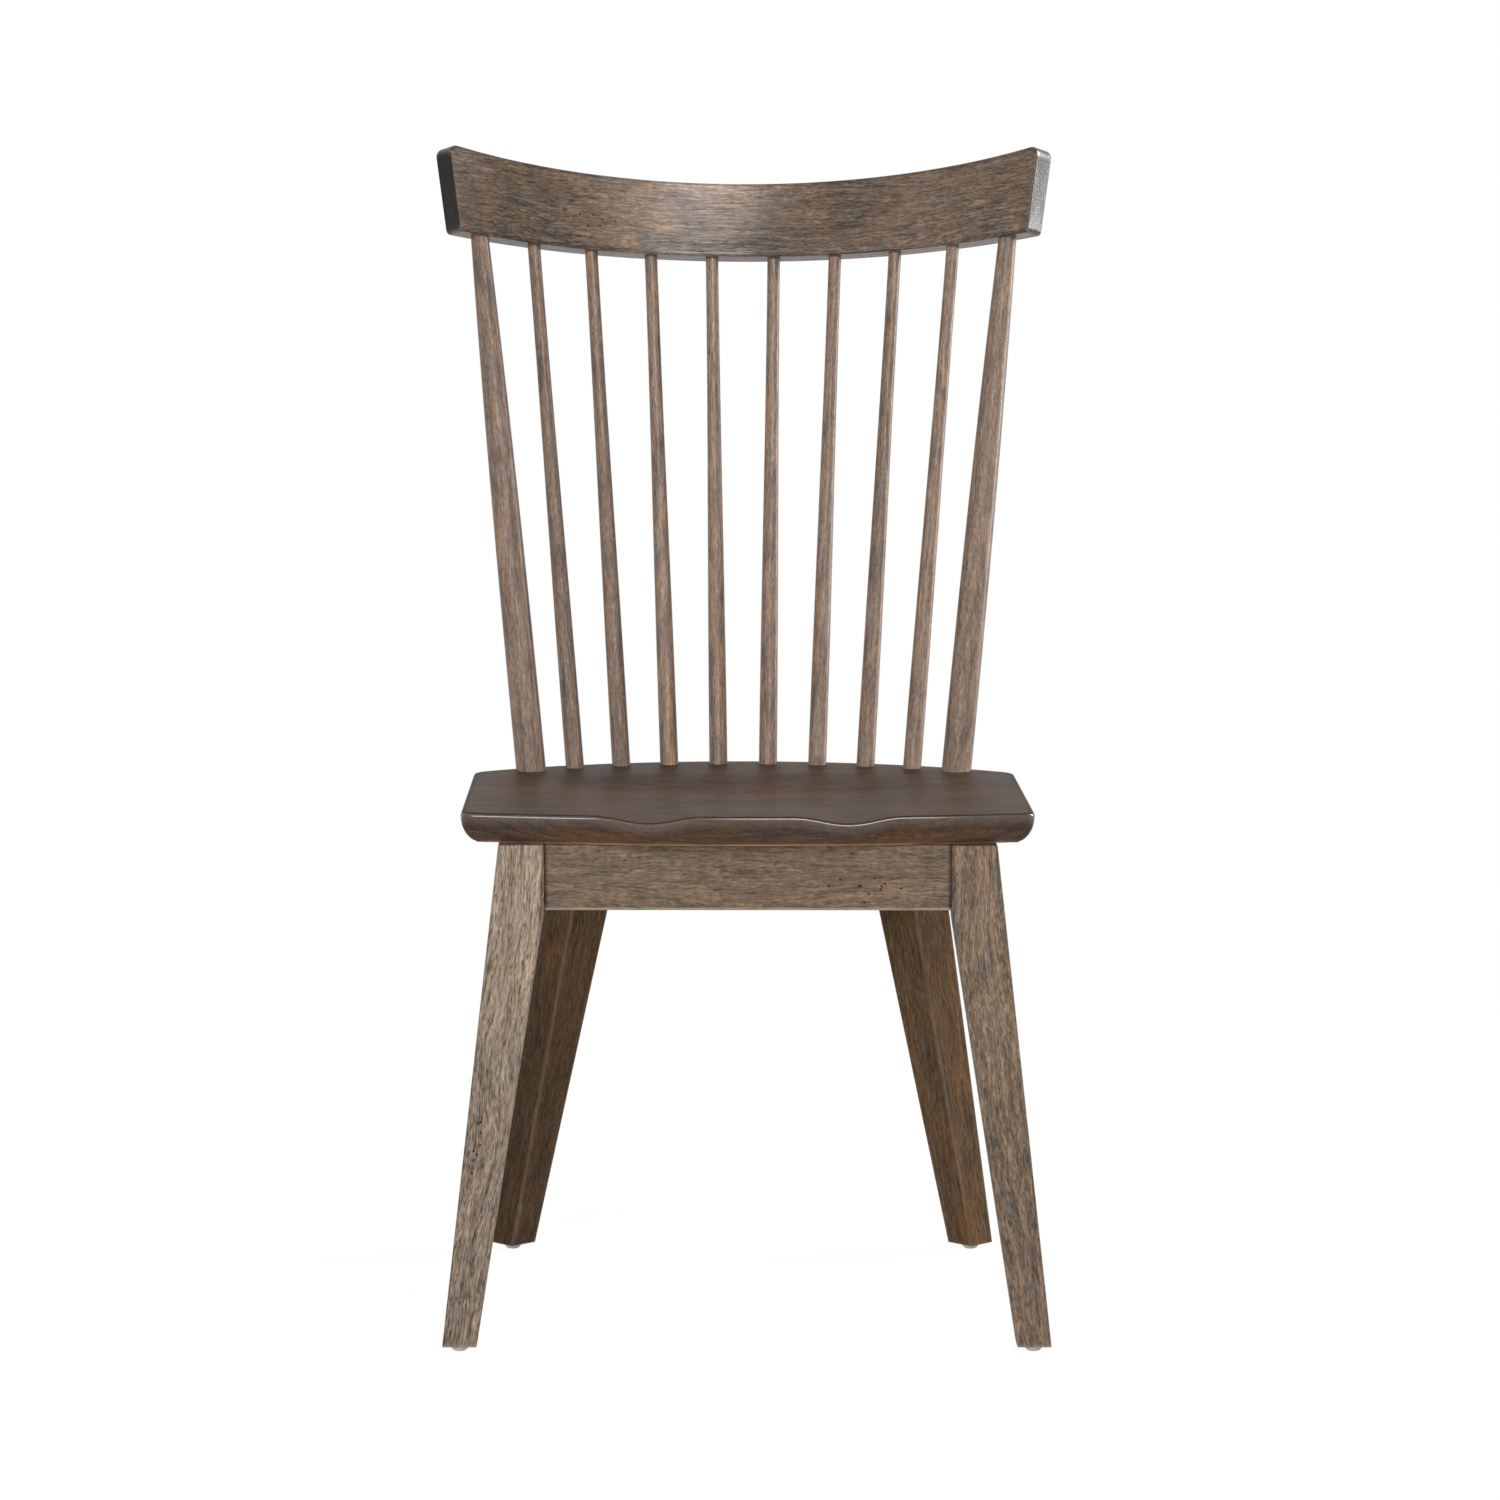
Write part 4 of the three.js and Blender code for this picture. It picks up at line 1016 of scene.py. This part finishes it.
# Patterns of noise: size along, across and through the grain, detail, roughness, and a shift
# that sets it apart from the others
PATTERNS = {
    "drift": ((0.14, 0.05, 0.05), 1.0),
    "ripple": ((0.016, 0.008, 0.008), 1.0),
    "stripe": ((0.30, 0.014, 0.014), 2.0),
    "fibre": ((0.036, 0.0021, 0.0021), 3.0, 0.68),
    "fleck": ((0.0070, 0.0014, 0.0014), 1.0, 0.6, (5.7, 3.3, 8.1)),
    "mottle": ((0.0035, 0.012, 0.012), 2.0, 0.6, (2.9, 6.1, 5.3)),
    "rub": ((0.030, 0.008, 0.008), 3.0, 0.7),
    "block fibre": ((0.04, 0.0012, 0.0012), 3.0, 0.6),
    "block rings": ((0.12, 0.006, 0.006), 2.0),
    "bloom": ((0.006, 0.006, 0.006), 2.0),
    "scratch": ((0.0006, 0.0006, 0.004), 2.0),
    "scuff": ((0.0012, 0.0012, 0.0012), 3.0, 0.6),
}
# How far drift and ripple bend the grain sideways, in metres
BENDS = {"drift": 0.020, "ripple": 0.0026}
# The growth rings: how slowly they change along the board, and the way to the tree's heart
RING_STRETCH = (0.05, 1.0, 1.0)
TO_HEART = (0.0, -1.2, -1.35)
# How far each pattern changes the brightness at full strength
SWINGS = {"cast": 0.14, "fibre": 0.75, "fleck": 0.55, "late": 0.35, "mottle": 0.5}
# Noise lies mostly between the first two values, and nearly always between the other two
NOISE_CORE, NOISE_REACH = (0.3, 0.7), (0.25, 0.75)


class Nodes:
    """The node tree of a material or a world, with short calls for the nodes used here."""

    def __init__(self, owner):
        owner.use_nodes = True
        self.owner = owner
        self.tree = owner.node_tree
        self.tree.nodes.clear()

    def add(self, kind, inputs=None, **settings):
        """A new node, with its settings and its inputs: numbers, colours or other outputs."""
        node = self.tree.nodes.new(kind)
        for key, value in settings.items():
            setattr(node, key, value)
        for key, value in (inputs or {}).items():
            if isinstance(value, bpy.types.NodeSocket):
                self.tree.links.new(value, node.inputs[key])
            else:
                node.inputs[key].default_value = value
        return node

    def place(self):
        """The place on the piece, in metres."""
        return self.add("ShaderNodeTexCoord").outputs["Object"]

    def mark(self, name, output="Fac"):
        """What the piece's mesh keeps under a name for each point."""
        return self.add("ShaderNodeAttribute", attribute_name=name).outputs[output]

    def sum(self, operation, first, second=0.0, third=0.0, clamp=False):
        """One sum on numbers."""
        inputs = {0: first, 1: second, 2: third}
        return self.add("ShaderNodeMath", inputs, operation=operation, use_clamp=clamp).outputs[0]

    def product(self, first, *others):
        """The numbers multiplied together, from the first to the last."""
        for other in others:
            first = self.sum("MULTIPLY", first, other)
        return first

    def vector(self, operation, first, second=(0, 0, 0)):
        """One sum on vectors."""
        node = self.add("ShaderNodeVectorMath", {0: first, 1: second}, operation=operation)
        return node.outputs["Value" if operation == "LENGTH" else "Vector"]

    def noise(self, place, pitch, detail, roughness=0.5, shift=None, output="Fac"):
        """Noise whose features have about the given size, in metres, in each direction."""
        if shift:
            place = self.vector("ADD", place, shift)
        scaled = self.vector("MULTIPLY", place, tuple(1 / size for size in pitch))
        inputs = {"Vector": scaled, "Scale": 1.0, "Detail": detail, "Roughness": roughness}
        return self.add("ShaderNodeTexNoise", inputs).outputs[output]

    def pattern(self, name, place, output="Fac"):
        """One of the patterns in the table."""
        return self.noise(place, *PATTERNS[name], output=output)

    def ramp(self, value, low, high, to_low=0.0, to_high=1.0):
        """A smooth climb from one value to another."""
        inputs = {"Value": value, "From Min": low, "From Max": high, "To Min": to_low, "To Max": to_high}
        return self.add("ShaderNodeMapRange", inputs, interpolation_type="SMOOTHSTEP").outputs[0]

    def swing(self, value, limits, reach):
        """A smooth climb from 1 less the reach to 1 plus the reach, between two limits."""
        return self.ramp(value, *limits, 1 - reach, 1 + reach)

    def blend(self, share, first, second, mode="MIX"):
        """One colour turned into another by a share."""

        def colour(value):
            return value if isinstance(value, bpy.types.NodeSocket) else (*value, 1.0)

        inputs = {0: share, 6: colour(first), 7: colour(second)}
        return self.add("ShaderNodeMix", inputs, data_type="RGBA", blend_type=mode).outputs[2]

    def bump(self, height, depth):
        """The surface's direction where a height of 1 stands out by the depth."""
        return self.add("ShaderNodeBump", {"Height": height, "Distance": depth, "Strength": 1.0}).outputs[0]

    def surface(self, **inputs):
        """The shader and the output, with underscores in the inputs' names for spaces."""
        named = {key.replace("_", " "): value for key, value in inputs.items()}
        shader = self.add("ShaderNodeBsdfPrincipled", named)
        self.add("ShaderNodeOutputMaterial", {"Surface": shader.outputs[0]})
        return self.owner


def wavy_grain(n, grain):
    """The place in the board, moved sideways by a slow drift and by a short ripple."""
    wavy = grain
    for name, reach in BENDS.items():
        bend = n.vector("SUBTRACT", n.pattern(name, grain, "Color"), (0.5, 0.5, 0.5))
        wavy = n.vector("ADD", wavy, n.vector("MULTIPLY", bend, (0.0, reach, reach)))
    return wavy


def early_wood(n, look, wavy):
    """1 in early wood and 0 in late wood: the growth rings are cylinders about the tree's
    heart, and early wood lies where the distance from it is near a whole ring."""
    reach = n.vector("LENGTH", n.vector("ADD", n.vector("MULTIPLY", wavy, RING_STRETCH), TO_HEART))
    phase = n.sum("FRACT", n.sum("DIVIDE", reach, look.ring_spacing))
    late_end, early_full = 0.15, 0.5
    return n.ramp(n.sum("ABSOLUTE", n.sum("SUBTRACT", phase, 0.5)), late_end, early_full)


def crowding(n, look, wavy, early, cloud, warm, shade):
    """How much closer together the open grain lies: closer in early wood, in stripes, in
    greyed patches and where the piece is dark, and less close in warm patches."""
    early_share, ring_share, late_less, darkest = 0.04, 0.05, -0.02, 0.3
    crowd = n.sum("MULTIPLY_ADD", early, early_share + ring_share * look.ring_strength, late_less)
    stripe = n.sum("SUBTRACT", n.pattern("stripe", wavy), 0.5)
    dark = n.sum("MINIMUM", shade, darkest)
    for value, weight in ((stripe, 0.34), (cloud, 0.04), (warm, -0.03), (dark, 0.35)):
        crowd = n.sum("MULTIPLY_ADD", value, weight, crowd)
    return crowd


def open_grain(n, look, wavy, crowd):
    """Open grain shows as long wavy lines, where a stretched noise passes its middle value,
    broken up by a shorter noise, and as short dark dashes, where a finer one is high."""
    gap, wide = look.line_gap, look.pore_width
    line_stretch, line_core, line_rim = 20, 0.004, 0.045
    piece, gone, whole = 0.020, 0.34, 0.68
    ridge = n.noise(wavy, (gap * line_stretch, gap, gap), 1.0, 0.4)
    lines = n.ramp(n.sum("ABSOLUTE", n.sum("SUBTRACT", ridge, 0.5)), line_core, line_rim, 1.0, 0.0)
    broken = n.sum("ADD", n.noise(wavy, (piece, gap, gap), 1.0), crowd)
    lines = n.product(lines, n.ramp(broken, gone, whole), look.line_strength)
    crowd_share, rare, often = 0.7, 0.68, 0.16
    soft, deep = 0.05, 0.09
    dashes = n.sum("MULTIPLY_ADD", crowd, crowd_share, n.noise(wavy, (look.pore_length, wide, wide), 1.0))
    threshold = rare - often * look.pore_share
    pores = n.product(n.ramp(dashes, threshold - soft, threshold + deep), look.pore_strength)
    return n.sum("MAXIMUM", lines, pores)


def small_holes(n, holes):
    """1 in the small holes, found by the distance to the nearest of their middles."""
    core, rim = 0.0006, 0.0014
    place = n.mark("place", "Vector")
    nearest = 1.0
    for along, across in holes:
        away = n.vector("SUBTRACT", place, (along, across, 0.0))
        far = n.vector("LENGTH", n.vector("MULTIPLY", away, (1.0, 1.0, 0.0)))
        nearest = n.sum("MINIMUM", nearest, far)
    return n.ramp(nearest, core, rim, 1.0, 0.0)


def stained_wood(name, look, holes=()):
    """Weathered, stained, open-grained hardwood.

    Slow noise turns patches grey or warm. Growth rings and open grain follow the board. Fine
    streaks and flecks follow the fibre, and short bands cross it. Worn edges are lighter, and
    polished edges are smoother and have a clear coat. Holes are places on the piece, in the
    grain's own directions."""
    n = Nodes(bpy.data.materials.new(name))
    grain = n.mark("grain", "Vector")
    worn, polish, shade = (n.mark(mark) for mark in ("worn", "polish", "shade"))
    wavy = wavy_grain(n, grain)

    # Patches
    size = (look.patch_length, look.patch_width, look.patch_width)
    detail, roughness, grey_share, warm_share = 3.0, 0.55, (0.46, 0.66), (0.50, 0.68)
    cloud = n.ramp(n.noise(wavy, size, detail, roughness), *grey_share)
    warm = n.ramp(n.noise(wavy, size, detail, roughness, shift=(7.3, 2.1, 4.7)), *warm_share)
    cast = n.noise(wavy, tuple(v / 2 for v in size), detail, roughness=0.6, shift=(3.1, 9.2, 1.7))

    early = early_wood(n, look, wavy)
    opened = open_grain(n, look, wavy, crowding(n, look, wavy, early, cloud, warm, shade))
    fibre, fleck, bands = (n.pattern(pattern, wavy) for pattern in ("fibre", "fleck", "mottle"))

    # Colour and brightness
    strength, fine = look.patch_strength, look.fibre_strength
    colour = n.blend(n.product(warm, strength), tuple(look.body), tuple(look.warm))
    colour = n.blend(n.product(cloud, strength), colour, tuple(look.grey))
    bright = n.product(
        n.swing(cast, NOISE_CORE, SWINGS["cast"] * strength),
        n.swing(fibre, NOISE_REACH, SWINGS["fibre"] * fine),
        n.swing(fleck, NOISE_REACH, SWINGS["fleck"] * fine),
        n.ramp(early, 0.0, 1.0, 1.0, 1 - SWINGS["late"] * look.ring_strength),
        n.swing(bands, NOISE_CORE, SWINGS["mottle"] * look.mottle),
        n.sum("SUBTRACT", 1.0, shade),
    )
    grey_value = n.add("ShaderNodeCombineColor", {0: bright, 1: bright, 2: bright}).outputs[0]
    colour = n.blend(1.0, colour, grey_value, "MULTIPLY")
    colour = n.blend(opened, colour, n.blend(1.0, tuple(look.pore), grey_value, "MULTIPLY"))

    # Worn edges, broken up along their length
    rub_from, rub_full, least_rubbed = 0.30, 0.55, 0.35
    edge_soft, edge_full = 0.05, 0.95
    broken = n.ramp(n.pattern("rub", grain), rub_from, rub_full, least_rubbed, 1.0)
    rub = n.product(n.ramp(worn, edge_soft, edge_full), broken)
    colour = n.blend(n.product(rub, look.worn_strength), colour, tuple(look.worn))

    # Relief and gloss
    fibre_rise, fleck_rise, hole_rise, polished_rise = 0.6, 0.4, -4.0, 0.2
    height = n.sum("MULTIPLY_ADD", opened, -1.0, n.product(fibre, fibre_rise))
    height = n.sum("MULTIPLY_ADD", fleck, fleck_rise, height)
    if holes:
        hole = small_holes(n, holes)
        colour = n.blend(hole, colour, tuple(look.hole))
        height = n.sum("MULTIPLY_ADD", hole, hole_rise, height)
    height = n.product(height, n.ramp(polish, 0.0, 1.0, 1.0, polished_rise))
    rough_spread, open_rough = 0.05, 0.1
    rough = n.ramp(fibre, *NOISE_CORE, look.roughness + rough_spread, look.roughness - rough_spread)
    return n.surface(
        Base_Color=colour,
        Roughness=n.sum("MULTIPLY_ADD", opened, open_rough, rough, clamp=True),
        Normal=n.bump(height, look.relief),
        Specular_IOR_Level=look.gloss,
        Coat_Weight=n.product(polish, look.edge_polish),
        Coat_Roughness=0.12,
        Coat_IOR=1.6,
    )


def bare_wood(name, look, turn):
    """Bare light hardwood of the corner blocks, its grain along the block."""
    n = Nodes(bpy.data.materials.new(name))
    turned = n.add("ShaderNodeMapping", {"Vector": n.place(), "Rotation": (0.0, 0.0, turn)}).outputs[0]
    fibre, rings = n.pattern("block fibre", turned), n.pattern("block rings", turned)
    colour = n.blend(n.ramp(fibre, *NOISE_CORE), tuple(look.block), tuple(look.block_light))
    ring_from, ring_full, ring_share = 0.45, 0.7, 0.6
    ringed = n.ramp(rings, ring_from, ring_full, 0.0, ring_share)
    colour = n.blend(ringed, colour, tuple(look.block_ring))
    return n.surface(Base_Color=colour, Roughness=0.8, Normal=n.bump(fibre, depth=0.0002))


def zinc_plate(name, look):
    """Bright zinc plate: metal with a faint yellow and blue bloom and fine scratches."""
    n = Nodes(bpy.data.materials.new(name))
    place = n.place()
    scratch = n.pattern("scratch", place)
    colour = n.blend(n.pattern("bloom", place), tuple(look.zinc_warm), tuple(look.zinc_cool))
    rough = n.ramp(scratch, *NOISE_CORE, to_low=0.28, to_high=0.46)
    normal = n.bump(scratch, depth=0.00004)
    return n.surface(Base_Color=colour, Metallic=1.0, Roughness=rough, Normal=normal)


def pale_nylon(name, look):
    """Moulded nylon: pale, satin, scuffed where it stands on the floor."""
    n = Nodes(bpy.data.materials.new(name))
    place = n.place()
    scuff = n.pattern("scuff", place)
    height = n.add("ShaderNodeSeparateXYZ", {0: place}).outputs[2]
    scuffed_to, clean_from, scuff_from, scuff_full, most = 0.0005, 0.0022, 0.4, 0.6, 0.5
    low = n.ramp(height, scuffed_to, clean_from, 1.0, 0.0)
    under = n.product(low, n.ramp(scuff, scuff_from, scuff_full), most)
    colour = n.blend(under, tuple(look.nylon), tuple(look.nylon_scuffed))
    rough = n.ramp(scuff, *NOISE_CORE, to_low=0.38, to_high=0.5)
    return n.surface(Base_Color=colour, Roughness=rough, Normal=n.bump(scuff, depth=0.00003))


# Operators


class CHAIR_OT_seat(bpy.types.Operator):
    """Makes the saddled seat board"""

    bl_idname = "chair.seat"
    bl_label = "Seat"

    def execute(self, context):
        chair = context.scene.chair
        rings, marks = seat_rings(chair.seat)
        wood = stained_wood("seat wood", chair.seat_wood)
        skin("saddled_seat", rings, rings, marks, "seat_wood", "seat", wood, weighted=False)
        return {"FINISHED"}


class CHAIR_OT_crest_rail(bpy.types.Operator):
    """Makes the bent crest rail"""

    bl_idname = "chair.crest_rail"
    bl_label = "Crest rail"

    def execute(self, context):
        chair = context.scene.chair
        wood = stained_wood("crest wood", chair.crest_wood, PINHOLES["crest_rail"])
        skin("bent_crest_rail", *crest_rings(chair.back, chair.arc_steps), "frame_wood", "crest_rail", wood)
        return {"FINISHED"}


class CHAIR_OT_uprights(bpy.types.Operator):
    """Makes the two posts and the spindles of the back"""

    bl_idname = "chair.uprights"
    bl_label = "Posts and spindles"

    def execute(self, context):
        chair = context.scene.chair
        wood = stained_wood("spindle wood", chair.spindle_wood)
        for node in frame["nodes"]:
            is_post = node.startswith("back_post")
            if is_post or node.startswith("spindle"):
                arrays = upright_rings(chair.back, node, is_post)
                skin(f"turned_{node}", *arrays, "frame_wood", node, wood, weighted=False)
        return {"FINISHED"}


class CHAIR_OT_legs(bpy.types.Operator):
    """Makes the four splayed legs"""

    bl_idname = "chair.legs"
    bl_label = "Legs"

    def execute(self, context):
        chair = context.scene.chair
        knee = corners_of("front_apron")[0][2]
        woods = {
            "front": stained_wood("front leg wood", chair.leg_wood, PINHOLES["front_leg_left"]),
            "front_leg_right": stained_wood("quartered leg wood", chair.quartered_leg_wood),
            "rear": stained_wood("rear leg wood", chair.rear_leg_wood),
        }
        arrays = {
            "front": front_leg_rings(chair.frame, knee, chair.arc_steps),
            "rear": rear_leg_rings(chair.frame, knee, chair.arc_steps),
        }
        for place, parts in arrays.items():
            for side, sign in SIDES:
                node = f"{place}_leg_{side}"
                rings, grain, marks = mirrored(*parts, sign)
                share = (rings[..., 2] - rings[..., 2].min()) / np.ptp(rings[..., 2])
                shade = marks["shade"] + board_shade(node, share) + spot_shade(node, grain)
                marks = {**marks, "shade": shade}
                wood = woods.get(node, woods[place])
                skin(f"splayed_{node}", rings, grain, marks, "frame_wood", node, wood)
        return {"FINISHED"}


class CHAIR_OT_aprons(bpy.types.Operator):
    """Makes the four aprons and the corner blocks between them"""

    bl_idname = "chair.aprons"
    bl_label = "Aprons and corner blocks"

    def execute(self, context):
        chair = context.scene.chair
        plain = stained_wood("apron wood", chair.apron_wood)
        front = stained_wood("front apron wood", chair.apron_wood, PINHOLES["front_apron"])
        for node in frame["nodes"]:
            if "apron" in node:
                in_front = node == "front_apron"
                along = np.array([1.0, 0.0]) if in_front else long_side(node)
                arrays = prism(node, chair.frame.apron_edge, chair.arc_steps, along)
                skin(f"eased_{node}", *arrays, "frame_wood", node, front if in_front else plain)
            elif "corner_block" in node:
                along = long_side(node)
                arrays = prism(node, chair.frame.block_edge, chair.arc_steps, along)
                wood = bare_wood(f"{node} wood", chair.plain, -math.atan2(along[1], along[0]))
                skin(f"sawn_{node}", *arrays, "block_wood", node, wood)
        return {"FINISHED"}


class CHAIR_OT_glides(bpy.types.Operator):
    """Makes the four nylon glides"""

    bl_idname = "chair.glides"
    bl_label = "Glides"

    def execute(self, context):
        chair = context.scene.chair
        nylon = pale_nylon("pale nylon", chair.plain)
        for node in frame["nodes"]:
            if "glide" in node and "nail" not in node:
                arrays = glide_rings(chair.glide, node)
                skin(f"moulded_{node}", *arrays, "pale_nylon", node, nylon, weighted=False)
        return {"FINISHED"}


class CHAIR_OT_fasteners(bpy.types.Operator):
    """Gives the bolts, washers, nuts, screws and nails their finish"""

    bl_idname = "chair.fasteners"
    bl_label = "Fasteners"

    def execute(self, context):
        zinc = zinc_plate("zinc plate", context.scene.chair.plain)
        for node, piece in frame["nodes"].items():
            if any(word in node for word in ("bolt", "washer", "nut", "screw", "nail")):
                piece.data.materials.clear()
                piece.data.materials.append(zinc)
        return {"FINISHED"}


class CHAIR_OT_stage(bpy.types.Operator):
    """Makes the floor, the lamps, the even light and the camera"""

    bl_idname = "chair.stage"
    bl_label = "Stage"

    def execute(self, context):
        stage = context.scene.chair.stage
        place_camera(stage)
        lay_floor(stage)
        light_scene(stage)
        context.scene.view_settings.view_transform = "Standard"
        return {"FINISHED"}


# Stage


def place_camera(stage):
    """The camera, which looks along +Y, turned a little to the right and down."""
    data = bpy.data.cameras.new("camera")
    data.lens = stage.focal_length
    data.sensor_width = 36.0  # millimetres
    camera = bpy.data.objects.new("camera", data)
    camera.location = stage.camera_place
    look = Matrix.Rotation(-stage.yaw, 3, "Z") @ Matrix.Rotation(QUARTER - stage.pitch, 3, "X")
    camera.rotation_euler = (look @ Matrix.Rotation(stage.roll, 3, "Z")).to_euler()
    bpy.context.scene.collection.objects.link(camera)
    bpy.context.scene.camera = camera


def seen_share(n):
    """1 for what the camera sees straight, in a gloss or through glass, and 0 for light."""
    path = n.add("ShaderNodeLightPath").outputs
    seen = n.sum("MAXIMUM", path["Is Camera Ray"], path["Is Glossy Ray"])
    return n.sum("MAXIMUM", seen, path["Is Transmission Ray"])


def lay_floor(stage):
    """A plain round floor. Seen straight, it is white in the light, keeps a soft shadow near
    the chair, and turns into the plain white of the background further out."""
    reach, around = 6.0, 96
    shadow_end, white_from = 0.6, 2.4
    shadow_share, own_light = 0.10, 0.95
    white = (1.0, 1.0, 1.0, 1.0)
    points = np.zeros((around, 3))
    points[:, :2] = reach * full_circle(around)
    mesh = bpy.data.meshes.new("floor")
    mesh.from_pydata(points.tolist(), [], [list(range(around))])
    n = Nodes(bpy.data.materials.new("floor"))
    far = n.ramp(n.vector("LENGTH", n.place()), shadow_end, white_from)
    pale = n.add("ShaderNodeBsdfDiffuse", {"Color": (*stage.floor, 1.0)})
    dim = n.add("ShaderNodeBsdfDiffuse", {"Color": (*[shadow_share] * 3, 1.0)})
    glow = n.add("ShaderNodeEmission", {"Color": white, "Strength": own_light})
    plain = n.add("ShaderNodeEmission", {"Color": white, "Strength": 1.0})
    near = n.add("ShaderNodeAddShader", {0: dim.outputs[0], 1: glow.outputs[0]})
    seen = n.add("ShaderNodeMixShader", {0: far, 1: near.outputs[0], 2: plain.outputs[0]})
    either = n.add("ShaderNodeMixShader", {0: seen_share(n), 1: pale.outputs[0], 2: seen.outputs[0]})
    n.add("ShaderNodeOutputMaterial", {"Surface": either.outputs[0]})
    mesh.materials.append(n.owner)
    floor = bpy.data.objects.new("floor", mesh)
    bpy.context.scene.collection.objects.link(floor)


# Each lamp's place, and its width and height; they all point at one place
LAMPS = {
    "key": ((0.65, -3.2, 3.0), 1.6, 1.0),
    "fill": ((-1.8, -3.7, 1.0), 1.6, 1.4),
    "rim": ((2.75, 0.9, 1.5), 0.5, 1.8),
}
LIT_POINT = Vector((0.0, 0.0, 0.5))


def light_scene(stage):
    """An even white sky, a lamp high in front, whose reflection lies on the back, a broad one
    low in front on the left, and a narrow one behind on the right, which catches the edges."""
    n = Nodes(bpy.data.worlds.new("studio"))
    strength = n.ramp(seen_share(n), 0.0, 1.0, stage.sky, 1.0)
    sky = n.add("ShaderNodeBackground", {"Color": (1.0, 1.0, 1.0, 1.0), "Strength": strength})
    n.add("ShaderNodeOutputWorld", {"Surface": sky.outputs[0]})
    bpy.context.scene.world = n.owner
    for name, (place, wide, tall) in LAMPS.items():
        data = bpy.data.lights.new(name, "AREA")
        data.shape = "RECTANGLE"
        data.size, data.size_y = wide, tall
        data.energy = getattr(stage, f"{name}_power")
        lamp = bpy.data.objects.new(name, data)
        lamp.location = place
        lamp.rotation_euler = (LIT_POINT - Vector(place)).to_track_quat("-Z", "Y").to_euler()
        bpy.context.scene.collection.objects.link(lamp)


# Panel and registration

OPERATORS = (
    CHAIR_OT_stage,
    CHAIR_OT_seat,
    CHAIR_OT_crest_rail,
    CHAIR_OT_uprights,
    CHAIR_OT_legs,
    CHAIR_OT_aprons,
    CHAIR_OT_glides,
    CHAIR_OT_fasteners,
)


class CHAIR_PT_pieces(bpy.types.Panel):
    """Lists the pieces of the chair in the sidebar"""

    bl_label = "Spindle back chair"
    bl_idname = "CHAIR_PT_pieces"
    bl_space_type = "VIEW_3D"
    bl_region_type = "UI"
    bl_category = "Chair"

    def draw(self, context):
        for operator in OPERATORS:
            self.layout.operator(operator.bl_idname)


CLASSES = (
    SeatSizes,
    BackSizes,
    FrameSizes,
    GlideSizes,
    WoodLook,
    PlainLook,
    StageLook,
    ChairSettings,
    *OPERATORS,
    CHAIR_PT_pieces,
)


def register():
    """Registers the classes and hangs the settings on the scene."""
    for cls in CLASSES:
        bpy.utils.register_class(cls)
    bpy.types.Scene.chair = PointerProperty(type=ChairSettings)


def unregister():
    """Takes away what register added."""
    del bpy.types.Scene.chair
    for cls in reversed(CLASSES):
        bpy.utils.unregister_class(cls)


def main():
    """Builds the chair and its stage."""
    register()
    chair = bpy.context.scene.chair
    for name, finish in FINISHES.items():
        for key, value in finish.items():
            setattr(getattr(chair, name), key, value)
    bpy.ops.chair.stage()
    bpy.ops.chair.seat()
    bpy.ops.chair.crest_rail()
    bpy.ops.chair.uprights()
    bpy.ops.chair.legs()
    bpy.ops.chair.aprons()
    bpy.ops.chair.glides()
    bpy.ops.chair.fasteners()


if __name__ == "__main__":
    main()
